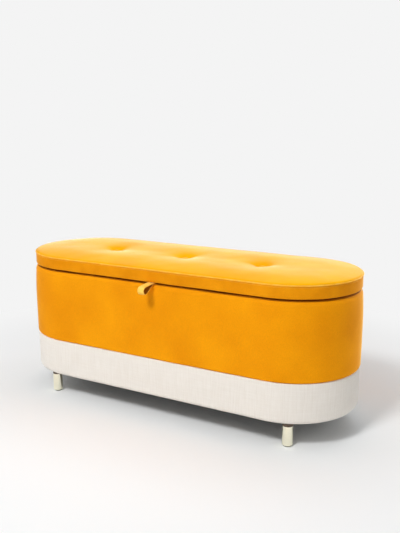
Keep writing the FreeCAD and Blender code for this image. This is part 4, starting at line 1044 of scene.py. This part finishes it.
def sweep_strap(name, path, width, thick):
    """A flat strap with rounded edges along a path of (y, z) points, closed at both ends."""
    edge = thick / 2
    flat_half = width / 2 - edge
    round_steps, flat_steps = 6, 8
    turns = [-math.pi / 2 + math.pi * k / round_steps for k in range(round_steps + 1)]
    ring = [(flat_half + edge * math.cos(a), edge * math.sin(a)) for a in turns]
    top = [(flat_half * (1 - 2 * k / flat_steps), edge) for k in range(1, flat_steps)]
    ring += top + [(-x, -y) for x, y in ring] + [(-x, -y) for x, y in top]
    verts = []
    for k, point in enumerate(path):
        ahead = (path[min(k + 1, len(path) - 1)] - path[max(k - 1, 0)]).normalized()
        out = Vector((ahead.y, -ahead.x))
        for x, offset in ring:
            verts.append((x + tab_shift, point.x + out.x * offset, point.y + out.y * offset))
    return new_piece(name, verts, tube_faces(len(path), len(ring)))


def in_the_loop(middle, out):
    """Whether a face looks into the loop that hangs out in front; the strap's edges don't."""
    on_an_edge = abs(out.x) >= 0.3
    to_nose = Vector((middle.x, *nose)) - middle
    return middle.y < -body_radius and not on_an_edge and out.dot(to_nose) > 0


pull_tab = sweep_strap("pull_tab_velvet", strap_path, tab_width, tab_ply)
with reworked(pull_tab) as bm:
    bmesh.ops.remove_doubles(bm, verts=bm.verts, dist=0.01 * mm)
    bmesh.ops.recalc_face_normals(bm, faces=bm.faces)
# The tab is given the paler copy: a painted highlight.
dress(pull_tab, "lid", "velvet", tab_cloth, "pull_tab")
# The inside of the loop is given the dark copy: painted shade.
paint_shade(pull_tab, in_the_loop)

# %% [markdown]
# ## The linings
#
# The storage is lined in plain cotton on card, the lid has a panel of the same cloth, and a
# thin black cloth closes the underside. They are sheets: thin closed sleeves and plates.

# %% Make the linings


def plate(name, radius, bottom, top):
    """A flat sheet in the shape of the outline, with softened edges if it is thick enough."""
    soft_edge = 0.8 * mm
    ring = stations(12 * mm)
    levels = [(radius - soft_edge, bottom), (radius, bottom + soft_edge),
              (radius, top - soft_edge), (radius - soft_edge, top)]
    if top - bottom <= 2 * soft_edge:
        levels = [(radius, bottom), (radius, top)]
    verts = [out_from(x, turn, r, z) for r, z in levels for x, turn in ring]
    piece = new_piece(name, verts, tube_faces(len(levels), len(ring)))
    cloth_map = piece.data.uv_layers.new(name="cloth")
    for face in piece.data.polygons:
        for loop in face.loop_indices:
            point = piece.data.vertices[piece.data.loops[loop].vertex_index].co
            cloth_map.data[loop].uv = (point.x, point.y)
    return piece


lining_section = rounded([
    (wall_lining_high.y - cloth, wall_lining_low.z, 0),
    (wall_lining_high.y, wall_lining_low.z, 0),
    (wall_lining_high.y, wall_lining_high.z, 0),
    (wall_lining_high.y - cloth, wall_lining_high.z, 0),
])
wall_lining = loft("wall_lining_cloth", lining_section)
dress(wall_lining, "box", "lining_cloth", lining_cloth, "wall_lining")
for name, body, slot, material, held, carrier in (
        ("floor_lining", "box", "lining_cloth", lining_cloth, "laid", "base_panel"),
        ("lid_lining", "lid", "lining_cloth", lining_cloth, "stretched", "lid_board"),
        ("dust_cover", "box", "dust_cloth", dust_cloth, "stretched", "base_panel")):
    low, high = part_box(name)
    cut = plate(name + "_cloth", high.y, low.z, high.z)
    dress(cut, body, slot, material, name)
print("linings ready")

# %% [markdown]
# ## Stitches, made by Geometry Nodes
#
# A seam is one small thing repeated along a path, which is what Geometry Nodes are for. The
# tree takes a path, walks along it at the stitch spacing, stands one small bead of thread at
# each place, turned along the path, and makes real mesh of it all, because an instance is
# lost when the model is exported.

# %% Helpers: how every tree here begins, ends and is run


def begin_tree(name, **sockets):
    """A tree with named inputs of given kinds and one mesh as its outcome, and its input node."""
    tree = bpy.data.node_groups.new(name, "GeometryNodeTree")
    for key, kind in sockets.items():
        tree.interface.new_socket(key, in_out="INPUT", socket_type="NodeSocket" + kind)
    tree.interface.new_socket("Outcome", in_out="OUTPUT", socket_type="NodeSocketGeometry")
    return tree, node(tree, "NodeGroupInput")


def end_tree(tree, stood, finish):
    """Makes real mesh of what stands in place, gives it its finish and hands it out."""
    real = node(tree, "GeometryNodeRealizeInstances", {"Geometry": stood.outputs["Instances"]})
    painted = node(tree, "GeometryNodeSetMaterial", {
        "Geometry": real.outputs["Geometry"], "Material": finish})
    node(tree, "NodeGroupOutput", {"Outcome": painted.outputs["Geometry"]})
    print(tree.name, "has", len(tree.nodes), "nodes")


def run_tree(tree, name, holder, settings):
    """Runs a Geometry Nodes tree on a holder and keeps the result as a plain mesh."""
    modifier = holder.modifiers.new("nodes", "NODES")
    modifier.node_group = tree
    identifiers = {item.name: item.identifier for item in tree.interface.items_tree
                   if item.in_out == "INPUT"}
    for key, setting in settings.items():
        modifier[identifiers[key]] = setting
    graph = bpy.context.evaluated_depsgraph_get()
    mesh = bpy.data.meshes.new_from_object(holder.evaluated_get(graph))
    holder.modifiers.remove(modifier)
    bpy.data.objects.remove(holder)
    mesh.name = name
    piece = bpy.data.objects.new(name, mesh)
    bpy.context.scene.collection.objects.link(piece)
    return piece


def path_piece(name, points, closed):
    """A bare path: vertices joined by edges, with no faces."""
    edges = [(k, k + 1) for k in range(len(points) - 1)]
    if closed:
        edges.append((len(points) - 1, 0))
    return new_piece(name, points, [], edges)


# %% Build the stitching tree
stitch_tree, given = begin_tree("stitching", Path="Geometry", Spacing="Float", Length="Float",
                                Thickness="Float", Thread="Material")
curve = node(stitch_tree, "GeometryNodeMeshToCurve", {"Mesh": given.outputs["Path"]})
points = node(stitch_tree, "GeometryNodeCurveToPoints", {
    "Curve": curve.outputs["Curve"], "Length": given.outputs["Spacing"]}, mode="LENGTH")
bead = node(stitch_tree, "GeometryNodeMeshUVSphere", {"Segments": 6, "Rings": 5, "Radius": 0.5})
size = node(stitch_tree, "ShaderNodeCombineXYZ", {
    "X": given.outputs["Thickness"], "Y": given.outputs["Thickness"],
    "Z": given.outputs["Length"]})
stood = node(stitch_tree, "GeometryNodeInstanceOnPoints", {
    "Points": points.outputs["Points"], "Instance": bead.outputs["Mesh"],
    "Rotation": points.outputs["Rotation"], "Scale": size.outputs["Vector"]})
end_tree(stitch_tree, stood, given.outputs["Thread"])

# %% Sew the lid's topstitching
# Spun polyester thread has a short fuzz that catches the light as a fine pile does.
thread_colour = velvet("polyester_thread_golden", "F6B43A", "FFC654", "FFF4D8", 0.5, patch_mm=8)
stitch_up = band_high.z - 3.2 * mm
stitch_radius = lid_radius + 0.15 * mm
path = [out_from(x, turn, stitch_radius, stitch_up) for x, turn in stations()]
holder = path_piece("lid_stitch_path", path, True)
lid_stitches = run_tree(stitch_tree, "lid_topstitching", holder, {
    "Spacing": 5.5 * mm, "Length": 4 * mm, "Thickness": 0.8 * mm, "Thread": thread_colour})
dress(lid_stitches, "lid", "velvet_piping", thread_colour)

# %% Sew the two edges of the pull tab
from_edge = 2.4 * mm
loop = strap_path[leg_steps:-leg_steps]
for end, side in (("left", -1), ("right", 1)):
    across = tab_shift + side * (tab_width / 2 - from_edge)
    path = []
    for before, here, after in zip(loop, loop[1:], loop[2:]):
        ahead = (after - before).normalized()
        top = here + Vector((ahead.y, -ahead.x)) * (tab_ply / 2 + hairline)
        path.append(Vector((across, top.x, top.y)))
    name = "pull_tab_stitches_" + end
    holder = path_piece(name + "_path", path, False)
    tab_stitches = run_tree(stitch_tree, name, holder, {
        "Spacing": 3.6 * mm, "Length": 2.6 * mm, "Thickness": 0.7 * mm,
        "Thread": thread_colour})
    dress(tab_stitches, "lid", "velvet_piping", thread_colour)

# %% [markdown]
# ## Staples, stood along a path by a second tree
#
# The black cloth underneath and the linen's turned edge are held by staples. A staple is one
# wire bent twice; only its crown shows, pressed into the cloth. One small mesh is made in
# code and the tree stands it along the path, turned the path's way.

# %% Build the tree that stands one shape along a path
row_tree, given = begin_tree("row_of_shapes", Path="Geometry", Spacing="Float",
                             Shape="Object", Finish="Material")
curve = node(row_tree, "GeometryNodeMeshToCurve", {"Mesh": given.outputs["Path"]})
points = node(row_tree, "GeometryNodeCurveToPoints", {
    "Curve": curve.outputs["Curve"], "Length": given.outputs["Spacing"]}, mode="LENGTH")
shape = node(row_tree, "GeometryNodeObjectInfo", {"Object": given.outputs["Shape"]})
stood = node(row_tree, "GeometryNodeInstanceOnPoints", {
    "Points": points.outputs["Points"], "Instance": shape.outputs["Geometry"],
    "Rotation": points.outputs["Rotation"]})
end_tree(row_tree, stood, given.outputs["Finish"])


def bent_wire(name, path, radius):
    """A round wire along a path of points in its own YZ plane, closed at both ends."""
    sides = 6
    verts = []
    across = Vector((1, 0, 0))
    for k, point in enumerate(path):
        ahead = (path[min(k + 1, len(path) - 1)] - path[max(k - 1, 0)]).normalized()
        up = ahead.cross(across)
        verts += [point + x * across + y * up for x, y, _ in ring_of(radius, 0, sides)]
    piece = new_piece(name, verts, tube_faces(len(path), sides))
    with reworked(piece) as bm:
        bmesh.ops.recalc_face_normals(bm, faces=bm.faces)
    return piece


# %% Staple the underside
crown_half, leg, bend, wire = 5 * mm, 1.6 * mm, 0.8 * mm, 0.55 * mm
staple = bent_wire("staple", [
    Vector((0, -leg, -crown_half)), Vector((0, -bend, -crown_half)),
    Vector((0, 0, bend - crown_half)), Vector((0, 0, crown_half - bend)),
    Vector((0, -bend, crown_half)), Vector((0, -leg, crown_half))], wire)
in_dust_cloth = dust_high.y - 7 * mm
in_linen = (wrap_radius + dust_high.y) / 2 + 6 * mm  # just outside the linen's turned edge
for name, radius, up, spacing in (
        ("dust_cover_staples", in_dust_cloth, dust_low.z, 42 * mm),
        ("plinth_staples", in_linen, plinth_low.z, 30 * mm)):
    path = [out_from(x, turn, radius, up - hairline) for x, turn in stations()]
    holder = path_piece(name + "_path", path, True)
    row = run_tree(row_tree, name, holder, {"Spacing": spacing, "Shape": staple, "Finish": zinc})
    dress(row, "box", "plated_steel", zinc)
bpy.data.objects.remove(staple)

# %% [markdown]
# ## Screws and felt pads, stood where the frame has them
#
# A third tree stands a shape at each of a few given places, turned as each place says. The
# screws get the cross recess that the plain solids lack, each turned a little differently,
# as hand-driven screws are. The felt pads get a soft round edge and a fuzzy face. The places
# are read from the frame's own solids, so they stay right if the frame changes.

# %% Build the tree that stands a shape at given places
place_tree, given = begin_tree("shape_at_places", Places="Geometry", Shape="Object",
                               Finish="Material")
turned = node(place_tree, "GeometryNodeInputNamedAttribute", {"Name": "turned"},
              data_type="FLOAT_VECTOR")
shape = node(place_tree, "GeometryNodeObjectInfo", {"Object": given.outputs["Shape"]})
stood = node(place_tree, "GeometryNodeInstanceOnPoints", {
    "Points": given.outputs["Places"], "Instance": shape.outputs["Geometry"],
    "Rotation": turned.outputs["Attribute"]})
end_tree(place_tree, stood, given.outputs["Finish"])


def standing(name, places, shape, finish):
    """One mesh of a shape stood at each place, given as (point, turn)."""
    holder = new_piece(name + "_places", [point for point, turn in places], [])
    turns = holder.data.attributes.new("turned", "FLOAT_VECTOR", "POINT")
    for value, (point, turn) in zip(turns.data, places):
        value.vector = turn
    return run_tree(place_tree, name, holder, {"Shape": shape, "Finish": finish})


# %% Helpers: find the frame's solids, and how each screw stands


def points_box(points):
    """The low and high corner of some points."""
    return (Vector(min(point[i] for point in points) for i in range(3)),
            Vector(max(point[i] for point in points) for i in range(3)))


def solids_of(name):
    """The points of each separate solid of one of the frame's nodes, in order of place."""
    bm = bmesh.new()
    bm.from_mesh(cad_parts[name].data)
    bmesh.ops.remove_doubles(bm, verts=bm.verts, dist=0.001 * mm)
    solids, waiting = [], set(bm.verts)
    while waiting:
        reached = [waiting.pop()]
        for vertex in reached:
            for edge in vertex.link_edges:
                other = edge.other_vert(vertex)
                if other in waiting:
                    waiting.remove(other)
                    reached.append(other)
        solids.append([vertex.co.copy() for vertex in reached])
    bm.free()
    return sorted(solids, key=lambda points: tuple(round(v, 4) for v in points_box(points)[0]))


def screw_place(points, spin):
    """Where a screw's head stands, and its turn; its tip points along its own -Z."""
    low, high = points_box(points)
    size = high - low
    along = max(range(3), key=lambda i: size[i])
    middle = (low + high) / 2
    end_slice = 0.3 * mm
    widest = []
    for end in (low, high):
        arms = [point - middle for point in points if abs(point[along] - end[along]) < end_slice]
        widest.append(max(math.sqrt(max(0.0, arm.length_squared - arm[along] ** 2))
                          for arm in arms))
    head, way = (high, 1) if widest[1] > widest[0] else (low, -1)
    middle[along] = head[along]
    outward = Vector()
    outward[along] = way
    turn = outward.to_track_quat("Z", "Y") @ Quaternion((0, 0, 1), spin)
    return middle, turn.to_euler()


def cross_screw(head, length):
    """A countersunk wood screw with a cross recess, its head at the origin."""
    neck, tip, point, sides = 0.55 * head, 0.13 * length, 0.08 * head, 24
    half_slot, arm, sunk, taper = 0.16 * head, 0.56 * head, 0.42 * head, 0.7
    rings = [(head, 0), (neck, neck - head), (neck, tip - length), (point, -length)]
    verts = [corner for radius, z in rings for corner in ring_of(radius, z, sides)]
    faces = tube_faces(len(rings), sides)
    del faces[-2]  # the face of the head is left open for the cross
    quarter = [(arm, -half_slot), (arm, half_slot), (half_slot, half_slot)]
    cross = []
    for turns in range(4):
        for x, y in quarter:
            for _ in range(turns):
                x, y = -y, x
            cross.append((x, y))
    upper = len(verts)
    verts += [(x, y, 0) for x, y in cross]
    lower = len(verts)
    verts += [(taper * x, taper * y, -sunk) for x, y in cross]
    count = len(cross)
    for k in range(count):
        j = (k + 1) % count
        faces.append((upper + k, upper + j, lower + j, lower + k))
    faces.append(tuple(lower + k for k in range(count)))
    piece = new_piece("cross_screw", verts, faces)
    with reworked(piece) as bm:
        bmesh.ops.triangle_fill(bm, edges=[edge for edge in bm.edges if edge.is_boundary],
                                use_beauty=True)
        bmesh.ops.recalc_face_normals(bm, faces=bm.faces)
    return piece


# %% Drive the screws
spin_step = 1.9  # radians from one screw's cross to the next
for name, body in (("hinge_box_screws", "box"), ("hinge_lid_screws", "lid"),
                   ("strut_foot_screws", "box"), ("strut_head_screws", "lid")):
    solids = solids_of(name)
    low, high = points_box(solids[0])
    sizes = sorted(high - low)
    screw = cross_screw(sizes[0] / 2, sizes[2])
    places = [screw_place(points, spin_step * k) for k, points in enumerate(solids)]
    screws = standing(name + "_crossed", places, screw, zinc)
    dress(screws, body, "plated_steel", zinc, name)
    screws.data.shade_flat()
    bpy.data.objects.remove(screw)
    print(name, len(places), "screws")

# %% Lay the felt pads
solids = solids_of("bumpers")
low, high = points_box(solids[0])
pad_radius, pad_height = (high.x - low.x) / 2, high.z - low.z
foot_in, foot_rise = 0.3 * mm, 0.4 * mm
pad_round, round_steps, pad_sides = 0.9 * mm, 5, 32
pad_section = [(pad_radius - foot_in, 0.0), (pad_radius, foot_rise)]
for k in range(round_steps + 1):
    turn = math.pi / 2 * k / round_steps
    pad_section.append((pad_radius - pad_round * (1 - math.cos(turn)),
                        pad_height - pad_round * (1 - math.sin(turn))))
pad_section.append((pad_radius / 2, pad_height))
verts = [corner for radius, z in pad_section for corner in ring_of(radius, z, pad_sides)]
felt_pad = new_piece("felt_pad", verts, tube_faces(len(pad_section), pad_sides))
places = []
for points in solids:
    low, high = points_box(points)
    middle = (low + high) / 2
    middle.z = low.z
    places.append((middle, (0, 0, 0)))
pads = standing("rim_felt_pads", places, felt_pad, felt)
rumple(pads, 0.15 * mm, 4 * mm, seed=8.8)
dress(pads, "box", "felt", felt, "bumpers")
bpy.data.objects.remove(felt_pad)
print("felt pads", len(places))
